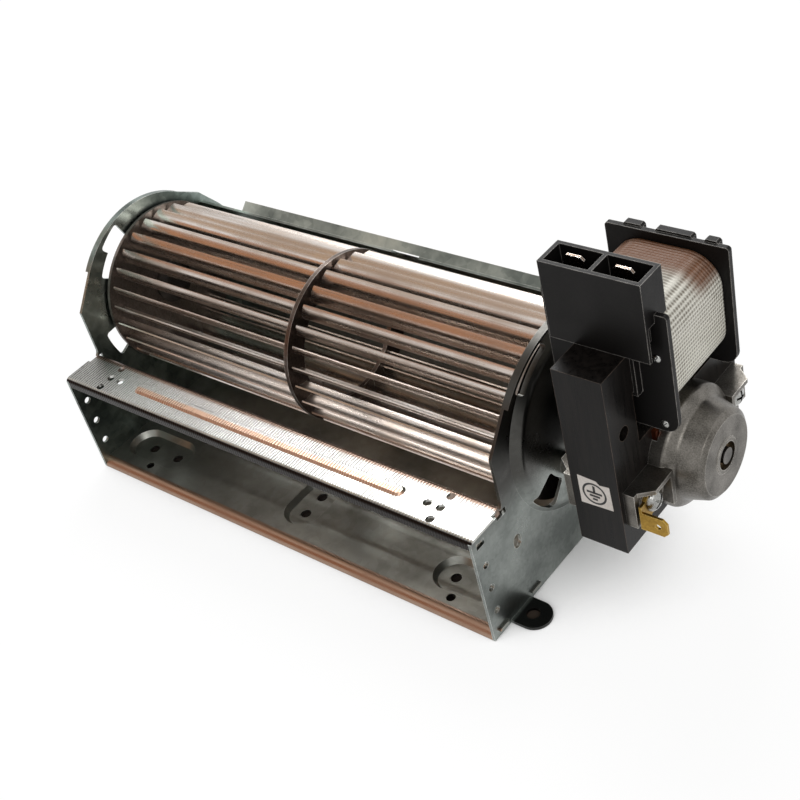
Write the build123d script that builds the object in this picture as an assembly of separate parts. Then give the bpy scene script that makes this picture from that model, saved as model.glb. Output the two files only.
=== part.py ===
from build123d import *
import os
from math import asin, atan2, cos, degrees, radians, sin, sqrt

# Cross flow fan with a galvanised sheet housing, a bladed aluminium impeller and a
# shaded-pole motor outside the right-hand end plate. Millimetres, Z up.
# X runs along the impeller axis with the motor at +X, and -Y is the outlet side.
# The finished pieces have their origin on the base plane, midway between the two
# mounting-foot holes. The functions below draw them with Y measured from the impeller
# axis, and save() moves them back by the distance from that axis to the holes.

# Impeller
impeller_diameter = 60.0
impeller_length = 180.0
blade_count = 26
blade_sheet = 0.5
blade_depth = 6.1
blade_curl = 68.0
blade_first_angle = -5.65
blade_tip_land = 0.4
tenon_depth = 3.0
tenon_relief = 2.4
slot_clearance = 0.05
disc_sheet = 1.2
ring_thickness = 1.6
ring_land = 1.5
hub_radius = 9.0
hub_length = 13.0
hub_flange_radius = 13.0
hub_flange = 1.6
shaft_radius = 2.5
running_fit = 0.03

# Housing
plate_sheet = 1.0
panel_sheet = 1.0
shell_sheet = 0.8
impeller_end_gap = 1.0
axis_height = 49.5
outlet_reach = 56.0
panel_height = 42.4
panel_depth = 16.5
panel_bend = 1.6
panel_front_return = 3.4
panel_rear_lip = 5.0
panel_hole_radius = 1.5
bead_inset = 33.0
bead_width = 4.6
bead_rise = 0.8
rim_radius = 34.7
rim_forward = 3.8
rim_rise = 0.6
rim_end_angle = 128.0
shoulder_radius = 34.6
shoulder_angle = 139.6
upright_reach = 40.0
upright_top = 61.0
shelf_flange = 6.0
rim_flange = 1.4
plate_margin = 1.2
joint_clearance = 0.1

# Scroll: its inner face grows from the rear top edge round to the floor
scroll_start_angle = 151.6
scroll_start_radius = 32.8
scroll_floor_angle = 270.0
floor_height = 3.0
floor_lip = 3.0

# Rear edge of the scroll, bent outward except beside its two ends
inlet_lip = 4.6
inlet_lip_lean = 50.0
inlet_lip_half = 73.0
inlet_tongue = 4.0

# Pressed dish, windows and holes of the end plates
dish_foot_radius = 33.0
idle_dish_radius = 26.0
dish_wall = 3.2
dish_rise = 2.5
dish_round = 2.0
window_inner_radius = 27.0
window_corner = 1.2
plate_hole_radius = 1.25
plate_hole_inset = 4.0

# Mounting feet and floor pads
foot_width = 11.0
foot_length = 10.8
foot_hole_radius = 2.2
foot_inset = 14.0
pad_hole_radius = 1.9
pad_radius = 6.2
pad_wall_angle = 32.0
pad_inset = 15.0
pad_end_gap = 12.0
pad_hole_spacing = 13.0
pad_middle_spacing = 8.8

# Idle bearing
grommet_radius = 9.5
grommet_groove = 1.5
idle_bush_radius = 5.5
idle_bush_length = 9.0

# Motor
stack_gap = 21.1
stack_thickness = 15.6
stack_half_width = 32.4
limb_width = 12.6
pole_half_height = 16.1
core_rise = 46.1
rivet_radius = 2.2
rivet_recess = 2.5
rivet_rise = 24.1
rotor_radius = 10.8
air_gap = 0.4
rotor_overhang = 2.2
bracket_depth = 14.4
bracket_base_radius = 18.5
bracket_nose_radius = 12.1
bracket_mouth_radius = 4.3
bearing_radius = 6.0
bearing_length = 6.9
bearing_seat = 5.5
cradle_depth = 7.6
cradle_wall = 1.5
ear_half_height = 6.0
ear_thickness = 3.6
boss_radius = 5.2
boss_rise = 0.6
screw_reach = 24.0
screw_radius = 2.0
screw_head_radius = 3.5
screw_head = 2.3
thread_fit = 0.03
leg_circle = 16.8
leg_radius = 3.6
leg_angles = (-50.0, 90.0, 230.0)
mount_screw_radius = 1.6
mount_screw_depth = 7.0
mount_head_radius = 3.0
mount_head = 1.7
shading_wire = 1.4
shading_reach = 13.0

# Coil and terminals
flange_sheet = 1.6
flange_half_width = 19.1
flange_bottom = 20.0
flange_top = 59.3
coil_half_length = 15.2
bobbin_wall = 1.2
core_clearance = 0.15
coil_half_width = 16.0
coil_bottom = 24.0
coil_top = 56.0
coil_corner = 9.0
tape_thickness = 0.5
plug_half_width = 15.4
plug_depth = 10.0
plug_front = -20.8
plug_bottom = 56.6
plug_top = 70.9
plug_wall = 1.2
plug_floor = 1.5
tab_width = 6.3
tab_sheet = 0.8
tab_below_rim = 0.4
terminal_offset = -0.5
terminal_set_back = 1.0
pin_spacing = 22.4
earth_tab_length = 8.6
earth_tab_drop = 6.3

# Worked out from the sizes above
impeller_radius = impeller_diameter / 2
impeller_end = impeller_length / 2
plate_inner = impeller_end + impeller_end_gap
plate_outer = plate_inner + plate_sheet
dish_outer = plate_outer + dish_rise
foot_middle = -outlet_reach + foot_inset
pad_row = -outlet_reach + pad_inset
pad_outer_hole = plate_inner - pad_end_gap
panel_underside = panel_height - panel_sheet
scroll_floor_radius = axis_height - floor_height
tip_radius = impeller_radius - blade_tip_land
blade_inner_radius = tip_radius - blade_depth
ring_hole_radius = blade_inner_radius - ring_land
tenon_radius = blade_inner_radius + tenon_depth
stack_left = plate_outer + stack_gap
stack_right = stack_left + stack_thickness
motor_middle = (stack_left + stack_right) / 2
limb_inner = stack_half_width - limb_width
core_bottom = core_rise - limb_width
shaft_end = stack_right + bracket_depth + 0.4


def across(x, y=0.0, z=0.0):
    """Plane square to the impeller axis at x, with its own x along Y and its own y along Z."""
    return Plane(origin=(x, y, z), x_dir=(0, 1, 0), z_dir=(1, 0, 0))


def slab(sketch, x_start, x_end):
    """Straight solid of a Y-Z outline between two places along the axis."""
    return extrude(across(x_start) * sketch, x_end - x_start)


def rod(radius, x_start, x_end, y=0.0, rise=0.0):
    """Round bar along X, placed by its distance from the impeller axis."""
    place = across(x_start, y, axis_height + rise)
    return extrude(place * Circle(radius), x_end - x_start)


def turned(*points, rounds=()):
    """Solid turned about the impeller axis from (x, radius) points, some corners rounded."""
    plane = Plane(origin=(0, 0, axis_height), x_dir=(1, 0, 0), z_dir=(0, -1, 0))
    outline = make_face(Polyline(*points, close=True))
    for corner, radius in rounds:
        vertex = outline.vertices().sort_by_distance((corner[0], corner[1], 0))[0]
        outline = fillet(vertex, radius)
    return revolve(plane * outline, Axis((0, 0, axis_height), (1, 0, 0)), 360)


def block(x, y, rise):
    """Box from three (start, end) pairs, the last measured from the impeller axis."""
    size = (x[1] - x[0], y[1] - y[0], rise[1] - rise[0])
    middle = ((x[0] + x[1]) / 2, (y[0] + y[1]) / 2, axis_height + (rise[0] + rise[1]) / 2)
    return Pos(*middle) * Box(*size)


def span(one, other):
    """The two places in rising order."""
    return (min(one, other), max(one, other))


def around(radius, angle, forward=0.0, rise=0.0):
    """Point (y, z) about the axis or a centre near it; 0 degrees faces the outlet and 90 is up."""
    turn = radians(angle)
    return (-forward - radius * cos(turn), axis_height + rise + radius * sin(turn))


def rim_point(angle, radius=rim_radius):
    """Point (y, z) on the round rim of the end plates, whose centre lies a little forward."""
    return around(radius, angle, rim_forward, rim_rise)


def scroll_radius(angle):
    """Inner radius of the scroll at an angle."""
    share = (angle - scroll_start_angle) / (scroll_floor_angle - scroll_start_angle)
    return scroll_start_radius + share * (scroll_floor_radius - scroll_start_radius)


def ring_sector(inner, outer, start, end, place=around):
    """Flat ring sector in Y-Z, about the impeller axis unless another place is given."""
    middle = (start + end) / 2
    edges = [
        ThreePointArc(*(place(angle=a, radius=outer) for a in (start, middle, end))),
        Line(place(angle=end, radius=outer), place(angle=end, radius=inner)),
        ThreePointArc(*(place(angle=a, radius=inner) for a in (end, middle, start))),
        Line(place(angle=start, radius=inner), place(angle=start, radius=outer)),
    ]
    return make_face(edges)


def scroll_path():
    """Inner line of the scroll from the outlet lip along the floor and up to the rear edge."""
    lip_end = (-outlet_reach + floor_lip, floor_height)
    runs = [RadiusArc((-outlet_reach, 0.0), lip_end, floor_lip), Line(lip_end, (0.0, floor_height))]
    for angle in (225.0, 180.0, scroll_start_angle):
        last = runs[-1]
        runs.append(TangentArc(last @ 1, around(scroll_radius(angle), angle), tangent=last % 1))
    return runs


def beyond(arc, share):
    """Point of an end plate's edge that stands behind one place of a scroll arc."""
    point = arc @ share
    along = arc % share
    gap = shell_sheet + plate_margin
    return (point.X + along.Y * gap, point.Y - along.X * gap)


def lip_bend():
    """Point (y, z) on the inner face of the scroll where its rear edge is bent."""
    return around(scroll_start_radius, scroll_start_angle)


def plate_outline():
    """Outline of both end plates: outlet edge, panel shelf, upright, rim and scroll."""
    rise = upright_top - axis_height - rim_rise
    forward = upright_reach - rim_forward
    far = sqrt(forward**2 + rise**2)
    tangent_angle = degrees(atan2(rise, forward)) + degrees(asin(sqrt(1 - (rim_radius / far) ** 2)))
    rim_middle = (tangent_angle + rim_end_angle) / 2
    shoulder = around(shoulder_radius, shoulder_angle)
    low, middle, high = scroll_path()[2:]
    low_end = beyond(low, 0.75)
    edges = [
        Polyline(
            (12.0, 0.0),
            (-outlet_reach, 0.0),
            (-outlet_reach, panel_underside),
            (-upright_reach, panel_underside),
            (-upright_reach, upright_top),
            rim_point(tangent_angle),
        ),
        ThreePointArc(rim_point(tangent_angle), rim_point(rim_middle), rim_point(rim_end_angle)),
        Line(rim_point(rim_end_angle), shoulder),
        Line(shoulder, beyond(high, 0.85)),
        ThreePointArc(beyond(high, 0.85), beyond(high, 0.4), beyond(high, 0)),
        ThreePointArc(beyond(middle, 1), beyond(middle, 0.5), beyond(middle, 0)),
        ThreePointArc(beyond(low, 1), beyond(low, 0.88), low_end),
        Line(low_end, (12.0, 0.0)),
    ]
    outline = make_face(edges)
    neck = outline.vertices().sort_by_distance((-upright_reach, panel_underside, 0))[0]
    return fillet(neck, 3.0), tangent_angle


def dish(side, foot):
    """Pressed dish of an end plate: the metal it adds and the hollow behind it."""
    rise = side * dish_rise
    inside = side * plate_inner
    outside = side * plate_outer
    top = foot - dish_wall
    added = turned(
        (inside, 0),
        (inside, foot),
        (outside, foot),
        (outside + rise, top),
        (outside + rise, 0),
        rounds=[((outside + rise, top), dish_round + plate_sheet / 2)],
    )
    wall = plate_sheet * 0.8
    hollow = turned(
        (inside, 0),
        (inside, foot - wall),
        (inside + rise, top - wall),
        (inside + rise, 0),
        rounds=[((inside + rise, top - wall), dish_round)],
    )
    return added, hollow


def end_plate(side, foot, windows, centre_radius):
    """Flanged and pressed end plate; side is -1 for the idle end and 1 for the motor end."""
    outline, tangent_angle = plate_outline()
    inner = side * plate_inner
    outer = side * plate_outer
    plate = slab(outline, *span(inner, outer))
    rim = ring_sector(rim_radius - plate_sheet, rim_radius, tangent_angle, rim_end_angle, rim_point)
    plate += slab(rim, *span(inner, side * (plate_outer + rim_flange)))
    shelf_x = span(inner, side * (plate_inner - shelf_flange))
    shelf_rise = panel_underside - axis_height
    shelf_front = -outlet_reach + panel_bend + joint_clearance
    shelf_rear = -upright_reach - panel_bend - panel_sheet
    plate += block(shelf_x, (shelf_front, shelf_rear), (shelf_rise - plate_sheet, shelf_rise))
    added, hollow = dish(side, foot)
    plate = plate + added - hollow
    through = span(side * (plate_inner - 0.1), side * (dish_outer + 1))
    for inner_radius, outer_radius, start, end in windows:
        opening = ring_sector(inner_radius, outer_radius, start, end)
        opening = fillet(opening.vertices(), window_corner)
        plate -= slab(opening, *through)
    plate -= rod(centre_radius, *through)
    for rise in (-39.1, -29.5, -19.9):
        plate -= rod(plate_hole_radius, *through, -outlet_reach + plate_hole_inset, rise)
    oval = SlotCenterToCenter(1.4, 3.6, rotation=90)
    plate -= slab(Pos(-upright_reach + 3.1, axis_height - 23.7) * oval, *through)
    neck_slot = (-upright_reach - 3.4, -upright_reach + 1.2)
    plate -= block(through, neck_slot, (-9.6, -7.4))
    front_slot = (-outlet_reach + 2.0, -outlet_reach + 5.6)
    plate -= block(through, front_slot, (-12.0, -9.8))
    for middle in floor_tab_places():
        half = floor_tab_half_width() + joint_clearance
        low = floor_height - shell_sheet - joint_clearance - axis_height
        high = floor_height + joint_clearance - axis_height
        plate -= block(through, (middle - half, middle + half), (low, high))
    plate += mounting_foot(side)
    return plate


def floor_tab_places():
    """Places along Y of the shell's tabs through each end plate."""
    return (-outlet_reach + 4.9, -outlet_reach + 22.2)


def floor_tab_half_width():
    """Half the width of one shell tab."""
    return 2.4


def mounting_foot(side):
    """Rounded foot folded outward from the lower edge of an end plate."""
    start = side * plate_inner
    round_middle = side * (plate_outer + foot_length - foot_width / 2)
    foot = Pos((start + round_middle) / 2, foot_middle) * Rectangle(abs(round_middle - start), foot_width)
    foot += Pos(round_middle, foot_middle) * Circle(foot_width / 2)
    hole = Pos(side * (plate_outer + 4.6), foot_middle) * Circle(foot_hole_radius)
    return extrude(foot - hole, plate_sheet)


def idle_plate():
    """End plate at the idle end, open to the air through its windows."""
    windows = [
        (window_inner_radius, 35.4, 51.0, 68.5),
        (window_inner_radius, 32.2, 34.0, 55.0),
        (window_inner_radius, 33.9, -24.0, -4.0),
        (window_inner_radius, 33.9, 184.0, 204.0),
    ]
    return end_plate(-1, idle_dish_radius, windows, grommet_radius - grommet_groove)


def motor_plate():
    """End plate at the motor end, with the holes of the motor's three legs."""
    windows = [
        (31.4, 34.4, 44.0, 74.0),
        (21.5, 31.6, -49.0, -27.0),
        (21.5, 31.6, 207.0, 229.0),
    ]
    plate = end_plate(1, dish_foot_radius, windows, hub_radius)
    for angle in leg_angles:
        y, z = around(leg_circle, angle)
        plate -= rod(mount_screw_radius + 0.3, plate_inner, dish_outer + 1, y, z - axis_height)
    return plate


def pad_outlines():
    """Outlines of the three pads pressed down into the floor, at their resting face."""
    run = pad_outer_hole - pad_hole_spacing
    reach = plate_inner - pad_radius - 3.0
    half_spacing = pad_middle_spacing / 2
    pads = []
    for side in (-1, 1):
        middle = side * (run + reach) / 2
        pads.append(Pos(middle, pad_row) * SlotCenterToCenter(reach - run, 2 * pad_radius))
    pads.append(Pos(0, pad_row + half_spacing) * SlotCenterToCenter(9.0, 2 * pad_radius, rotation=90))
    return pads


def pad_holes():
    """Holes (x, y) of the floor pads."""
    holes = [(0.0, pad_row), (0.0, pad_row + pad_middle_spacing)]
    for side in (-1, 1):
        holes.append((side * pad_outer_hole, pad_row))
        holes.append((side * (pad_outer_hole - pad_hole_spacing), pad_row))
    return holes


def strip(start, lean, length):
    """Y-Z outline of a flat length of the shell's sheet from its inner line."""
    along = (sin(radians(lean)), cos(radians(lean)))
    side = (along[1] * shell_sheet, -along[0] * shell_sheet)
    end = (start[0] + along[0] * length, start[1] + along[1] * length)
    corners = [start, end, (end[0] + side[0], end[1] + side[1]), (start[0] + side[0], start[1] + side[1])]
    return make_face(Polyline(*corners, close=True))


def scroll_edges():
    """Rear edge of the scroll: the outward lip and the straight tongues beside the end plates."""
    start = lip_bend()
    lip = strip(start, inlet_lip_lean, inlet_lip)
    tangent = scroll_path()[-1] % 1
    tongue_lean = degrees(atan2(tangent.X, tangent.Y))
    tongue = strip(start, tongue_lean, inlet_tongue)
    bars = [slab(lip, -inlet_lip_half, inlet_lip_half)]
    for side in (-1, 1):
        bars.append(slab(tongue, *span(side * inlet_lip_half, side * plate_inner)))
    return bars


def scroll_shell():
    """Scroll, floor and outlet lip, rolled from one sheet."""
    inner_face = Curve() + scroll_path()
    section = make_face(offset(inner_face, amount=shell_sheet, side=Side.RIGHT))
    shell = slab(section, -plate_inner, plate_inner)
    for bar in scroll_edges():
        shell += bar
    depth = floor_height - shell_sheet
    for outline in pad_outlines():
        shell += extrude(Plane.XY * outline, depth, taper=-pad_wall_angle)
    for outline in pad_outlines():
        drawn = offset(outline, amount=-shell_sheet * 0.3)
        shell -= extrude(Plane.XY.offset(shell_sheet) * drawn, depth + 0.2, taper=-pad_wall_angle)
    for x, y in pad_holes():
        shell -= Pos(x, y, 0) * Cylinder(pad_hole_radius, 2 * floor_height)
    for side in (-1, 1):
        corner = Pos(side * (plate_inner - 20.0), -outlet_reach + 6.0, floor_height)
        shell -= corner * Cylinder(plate_hole_radius + 0.3, 2 * floor_height)
        tab_x = span(side * plate_inner, side * (plate_outer + 0.8))
        for middle in floor_tab_places():
            half = floor_tab_half_width()
            rise = (floor_height - shell_sheet - axis_height, floor_height - axis_height)
            shell += block(tab_x, (middle - half, middle + half), rise)
    slot_y, slot_z = lip_bend()
    slot_rise = slot_z - axis_height
    shell -= block((0.7, 12.9), (slot_y - 2.0, slot_y + 3.0), (slot_rise - 3.6, slot_rise + 0.6))
    return shell


def front_panel():
    """Flat panel over the outlet, its front edge returned and its rear edge turned down."""
    half = panel_sheet / 2
    front = -outlet_reach + half
    rear = -outlet_reach + panel_depth - half
    middle = panel_height - half
    path = FilletPolyline(
        (front, panel_height - panel_front_return),
        (front, middle),
        (rear, middle),
        (rear, panel_height - panel_rear_lip),
        radius=panel_bend - half,
    )
    section = make_face(offset(path, amount=half, side=Side.BOTH))
    panel = slab(section, -plate_outer, plate_outer)
    for side in (-1, 1):
        inside = side * (plate_inner - joint_clearance)
        outside = side * (plate_outer + 1)
        gap_x = span(inside, outside)
        rear_start = -upright_reach - panel_bend - panel_sheet - 2.0
        low = panel_underside - axis_height - 8
        panel -= block(gap_x, (rear_start, 0), (low, panel_height - axis_height + 1))
        panel -= block(gap_x, (-outlet_reach - 1, 0), (low, panel_underside - axis_height))
        for inset, aside in panel_holes():
            place = Pos(side * (plate_outer - inset), panel_row() + aside, panel_height)
            panel -= place * Cylinder(panel_hole_radius, 8)
    bead = SlotCenterToCenter(2 * (plate_outer - bead_inset), bead_width)
    seat = Plane.XY.offset(panel_height) * Pos(0, panel_row()) * bead
    panel += extrude(seat, bead_rise, taper=48)
    return panel


def panel_row():
    """Place along Y of the panel's bead and middle holes."""
    return -outlet_reach + panel_depth / 2 - 0.25


def panel_holes():
    """Holes at one end of the panel: distance in from its end, and from its middle row."""
    return ((16.8, 5.2), (16.8, 0.0), (16.8, -5.2), (21.8, 0.0))


def blade_point(curl, aside, spread):
    """Point (y, z) on a blade section, measured from the axis, before it is turned to its place."""
    end_curl = radians(blade_curl)
    forward = sin(end_curl)
    sideways = 1 - cos(end_curl)
    square = forward**2 + sideways**2
    reach = tip_radius**2 - blade_inner_radius**2
    root = sqrt((blade_inner_radius * forward) ** 2 + square * reach)
    bend = (root - blade_inner_radius * forward) / square
    turn = radians(curl)
    out = blade_inner_radius + (bend + aside) * sin(turn) + spread
    along = bend - (bend + aside) * cos(turn)
    return out, along


def blade_angle(index):
    """Angle about the axis of one blade's root."""
    return blade_first_angle + 360.0 / blade_count * index


def blade_section(angle, growth=0.0):
    """Curved blade section at an angle about the axis, grown by a clearance for its slots."""
    half = blade_sheet / 2 + growth
    turn = radians(angle)

    def place(curl, aside, spread=0.0):
        out, along = blade_point(curl, aside, spread)
        y = -out * cos(turn) + along * sin(turn)
        z = axis_height + out * sin(turn) + along * cos(turn)
        return (y, z)

    edges = [
        ThreePointArc(place(0, half), place(blade_curl / 2, half), place(blade_curl, half)),
        Line(place(blade_curl, half), place(blade_curl, -half)),
        ThreePointArc(place(blade_curl, -half), place(blade_curl / 2, -half), place(0, -half)),
        Line(place(0, -half), place(0, half)),
    ]
    if growth:
        edges = [
            ThreePointArc(place(0, half), place(blade_curl / 2, half), place(blade_curl, half)),
            Line(place(blade_curl, half), place(blade_curl, -half)),
            ThreePointArc(place(blade_curl, -half), place(blade_curl / 2, -half), place(0, -half)),
            Line(place(0, -half), place(0, -half, -growth)),
            Line(place(0, -half, -growth), place(0, half, -growth)),
            Line(place(0, half, -growth), place(0, half)),
        ]
    return make_face(edges)


def tenon_notches():
    """Turned cuts that leave only the blades' inner tenons at the discs and the middle ring."""
    left = -impeller_end
    right = impeller_end
    half_ring = ring_thickness / 2
    outside = impeller_radius + 1
    notch_radius = tenon_radius
    cuts = []
    for start, end in ((left - 1, left + disc_sheet), (-half_ring, half_ring)):
        slope = (end + tenon_relief, outside)
        cuts.append(turned((start, notch_radius), (end, notch_radius), slope, (start, outside)))
    start = right - disc_sheet
    end = right + 1
    cuts.append(turned((start, notch_radius), (end, notch_radius), (end, outside), (start, outside)))
    return cuts


def impeller_blades():
    """All blades as full-length strips, in order about the axis."""
    notches = tenon_notches()
    blades = []
    for k in range(blade_count):
        blade = slab(blade_section(blade_angle(k)), -impeller_end, impeller_end)
        for notch in notches:
            blade -= notch
        blades.append(blade)
    return blades


def slotted(disc, x_start, x_end):
    """Cuts the blades' tenon slots through a disc or ring."""
    tenon_zone = Pos(0, axis_height) * Circle(tenon_radius + slot_clearance)
    for k in range(blade_count):
        slot = blade_section(blade_angle(k), slot_clearance) & tenon_zone
        disc -= slab(slot, x_start, x_end)
    return disc


def idle_disc():
    """End disc that carries the idle stub shaft."""
    inside = -impeller_end + disc_sheet
    disc = rod(impeller_radius, -impeller_end, inside)
    disc -= rod(shaft_radius + slot_clearance, -impeller_end, inside)
    return slotted(disc, -impeller_end, inside)


def drive_disc():
    """End disc that carries the drive hub."""
    inside = impeller_end - disc_sheet
    disc = rod(impeller_radius, inside, impeller_end)
    disc -= rod(hub_radius - 3.0 + slot_clearance, inside, impeller_end)
    return slotted(disc, inside, impeller_end)


def middle_ring():
    """Ring that ties the blades together at mid length."""
    half = ring_thickness / 2
    ring = rod(impeller_radius, -half, half) - rod(ring_hole_radius, -half, half)
    return slotted(ring, -half, half)


def idle_stub():
    """Flanged stub shaft riveted into the idle disc."""
    inside = -impeller_end + disc_sheet
    outer_end = -plate_outer - dish_rise - idle_bush_length / 2 - 1.0
    stub = rod(shaft_radius, outer_end, inside + 1)
    tip = inside + 2.5
    return stub + turned((inside, 0), (inside, 8.0), (inside + 1.5, 8.0), (tip, 5.0), (tip, 0))


def drive_hub():
    """Moulded hub that grips the motor shaft and the drive disc."""
    face = impeller_end - disc_sheet
    hub = turned(
        (face - hub_length, shaft_radius),
        (face - hub_length, hub_radius - 1.0),
        (face - hub_flange, hub_radius),
        (face - hub_flange, hub_flange_radius),
        (face, hub_flange_radius),
        (face, hub_radius - 3.0),
        (impeller_end + 0.8, hub_radius - 3.0),
        (impeller_end + 0.8, shaft_radius),
    )
    return hub


def motor_shaft():
    """Rotor shaft, from inside the hub to the outer bearing."""
    return rod(shaft_radius, impeller_end - disc_sheet - hub_length + 1.0, shaft_end)


def rotor():
    """Squirrel-cage rotor pressed on the shaft."""
    left = stack_left - rotor_overhang
    right = stack_right + rotor_overhang
    body = turned(
        (left, shaft_radius),
        (left, rotor_radius - 1.6),
        (stack_left, rotor_radius - 1.2),
        (stack_left, rotor_radius),
        (stack_right, rotor_radius),
        (stack_right, rotor_radius - 1.2),
        (right, rotor_radius - 1.6),
        (right, shaft_radius),
    )
    return body


def thrust_washers():
    """Fibre washers between the rotor and both bearings."""
    gap = bearing_seat - rotor_overhang
    left = stack_left - rotor_overhang
    right = stack_right + rotor_overhang
    outside = shaft_radius + 2.2
    pairs = ((left - gap + running_fit, left), (right, right + gap - running_fit))
    return [rod(outside, a, b) - rod(shaft_radius, a, b) for a, b in pairs]


def grommet():
    """Rubber ring that carries the idle bearing in the plate's centre hole."""
    seat = grommet_radius - grommet_groove
    dish_in = -plate_inner - dish_rise
    dish_out = -dish_outer
    end = dish_out - 2.0
    start = dish_in + 1.4
    return turned(
        (start, idle_bush_radius),
        (start, grommet_radius),
        (dish_in, grommet_radius),
        (dish_in, seat),
        (dish_out, seat),
        (dish_out, grommet_radius),
        (end + 0.8, grommet_radius),
        (end, grommet_radius - 1.5),
        (end, idle_bush_radius),
    )


def idle_bush():
    """Sintered bush of the idle stub shaft."""
    middle = -plate_outer - dish_rise + plate_sheet / 2
    start = middle - idle_bush_length / 2 - 0.5
    end = middle + idle_bush_length / 2 - 0.5
    bush = rod(idle_bush_radius, start, end) - rod(shaft_radius + running_fit, start, end)
    return bush


def lamination_stack():
    """C-shaped core: one side limb at the top for the coil, and the poles round the rotor."""
    core_height = core_rise + pole_half_height
    core_middle = axis_height + (core_rise - pole_half_height) / 2
    core = Pos(0, core_middle) * Rectangle(2 * stack_half_width, core_height)
    window_height = core_bottom - pole_half_height
    window_middle = axis_height + (core_bottom + pole_half_height) / 2
    core -= Pos(0, window_middle) * Rectangle(2 * limb_inner, window_height)
    core -= Pos(0, axis_height) * Circle(rotor_radius + air_gap)
    for side in (-1, 1):
        core -= Pos(side * screw_reach, axis_height) * Circle(screw_radius + joint_clearance)
        half = shading_wire / 2 + joint_clearance
        for rise in shading_heights():
            core -= Pos(side * shading_reach, axis_height - side * rise) * Rectangle(2 * half, 2 * half)
    stack = slab(core, stack_left, stack_right)
    for side in (-1, 1):
        middle = side * (stack_half_width - limb_width / 2)
        stack -= rod(rivet_radius, stack_right - rivet_recess, stack_right, middle, rivet_rise)
    return stack


def shading_heights():
    """Heights above the axis of the two bars of a shading ring."""
    return (8.2, 14.4)


def shading_ring(side):
    """Closed copper ring through two holes of a pole, by the rotor."""
    low, high = shading_heights()
    half = shading_wire / 2
    rises = (-side * low, -side * high)
    x_out = (stack_left - shading_wire, stack_right + shading_wire)
    y_span = (side * shading_reach - half, side * shading_reach + half)
    ring = block(x_out, y_span, (min(rises) - half, max(rises) + half))
    ring -= block((stack_left, stack_right), y_span, (min(rises) + half, max(rises) - half))
    return ring


def cradle(at, ear):
    """Walls beside and above a bracket's screw, which hide its head from the dome's side."""
    far = ear * (stack_half_width - 3.2)
    near = ear * 16.7
    tip = ear * (stack_half_width - 6.5)
    outline = make_face(
        Polyline(
            (at(0), near),
            (at(0), far),
            (at(ear_thickness), far),
            (at(cradle_depth), tip),
            (at(cradle_depth), near),
            close=True,
        )
    )
    roof = extrude(Plane.XY.offset(axis_height + ear_half_height - cradle_wall) * outline, cradle_wall)
    wall_x = span(at(0), at(cradle_depth))
    wall_y = span(near, near + ear * cradle_wall)
    beside = block(wall_x, wall_y, (-ear_half_height, ear_half_height))
    return roof + beside


def bearing_bracket(side):
    """Die-cast bearing bracket; side is 1 for the outer one and -1 for the one by the plate."""
    face = stack_right if side > 0 else stack_left

    def at(depth):
        return face + side * depth

    nose = bracket_depth
    shoulder = (at(6.6), bracket_nose_radius + 3.4)
    rim = (at(nose - 1.2), bracket_nose_radius + 1.6)
    body = turned(
        (at(0), 14.6),
        (at(0), bracket_base_radius),
        (at(4.6), bracket_base_radius),
        shoulder,
        rim,
        (at(nose), bracket_nose_radius),
        (at(nose), bracket_mouth_radius + 1.4),
        (at(nose + 0.3), bracket_mouth_radius + 1.1),
        (at(nose + 0.3), bracket_mouth_radius),
        (at(nose - 2.0), bracket_mouth_radius),
        (at(nose - 2.0), bearing_radius),
        (at(bearing_seat), bearing_radius),
        (at(bearing_seat), 8.0),
        (at(3.2), 13.4),
        rounds=[((at(4.6), bracket_base_radius), 1.6), (shoulder, 1.8), (rim, 0.8)],
    )
    for ear in (-1, 1):
        ear_y = span(ear * 15.4, ear * (stack_half_width - 1.6))
        body += block(span(at(0), at(ear_thickness)), ear_y, (-ear_half_height, ear_half_height))
        body += cradle(at, ear)
        boss_x = span(at(0), at(ear_thickness + boss_rise))
        body += rod(boss_radius, *boss_x, ear * screw_reach)
        body -= rod(screw_radius + thread_fit, *boss_x, ear * screw_reach)
        low, high = shading_heights()
        half = shading_wire / 2 + 3 * joint_clearance
        notch_y = (ear * shading_reach - half, ear * shading_reach + half)
        notch_z = span(-ear * (low - half), -ear * (high + half))
        body -= block(span(at(0), at(shading_wire + 0.3)), notch_y, notch_z)
    return body


def inner_bracket():
    """Inner bearing bracket, standing on the motor plate with three legs."""
    body = bearing_bracket(-1)
    for angle in leg_angles:
        y, z = around(leg_circle, angle)
        rise = z - axis_height
        body += rod(leg_radius, dish_outer, stack_left - ear_thickness, y, rise)
        bottom = dish_outer + mount_screw_depth + 0.5
        body -= rod(mount_screw_radius + thread_fit, dish_outer, bottom, y, rise)
    return body


def motor_bearing(side):
    """Sintered bearing bush in its bracket."""
    face = stack_right if side > 0 else stack_left
    ends = (face + side * bearing_seat, face + side * (bearing_seat + bearing_length))
    bush = rod(bearing_radius, min(ends), max(ends))
    return bush - rod(shaft_radius + running_fit, min(ends), max(ends))


def bracket_screws():
    """Two long screws that clamp both brackets on the core."""
    screws = []
    for ear, washer in ((-1, tab_sheet), (1, 0.0)):
        y = ear * screw_reach
        head_face = stack_right + ear_thickness + boss_rise + washer
        shank = rod(screw_radius, stack_left - ear_thickness - boss_rise - 0.8, head_face, y)
        head = rod(screw_head_radius, head_face, head_face + screw_head, y)
        rim = head.edges().filter_by(GeomType.CIRCLE).sort_by(Axis.X)[-1]
        screws.append(shank + fillet(rim, 0.9))
    return screws


def mount_screws():
    """Three screws that hold the inner bracket's legs, with their heads inside the dish."""
    head_face = plate_inner + dish_rise
    screws = []
    for angle in leg_angles:
        y, z = around(leg_circle, angle)
        rise = z - axis_height
        shank = rod(mount_screw_radius, head_face, dish_outer + mount_screw_depth, y, rise)
        head = rod(mount_head_radius, head_face - mount_head, head_face, y, rise)
        screws.append(shank + head)
    return screws


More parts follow.
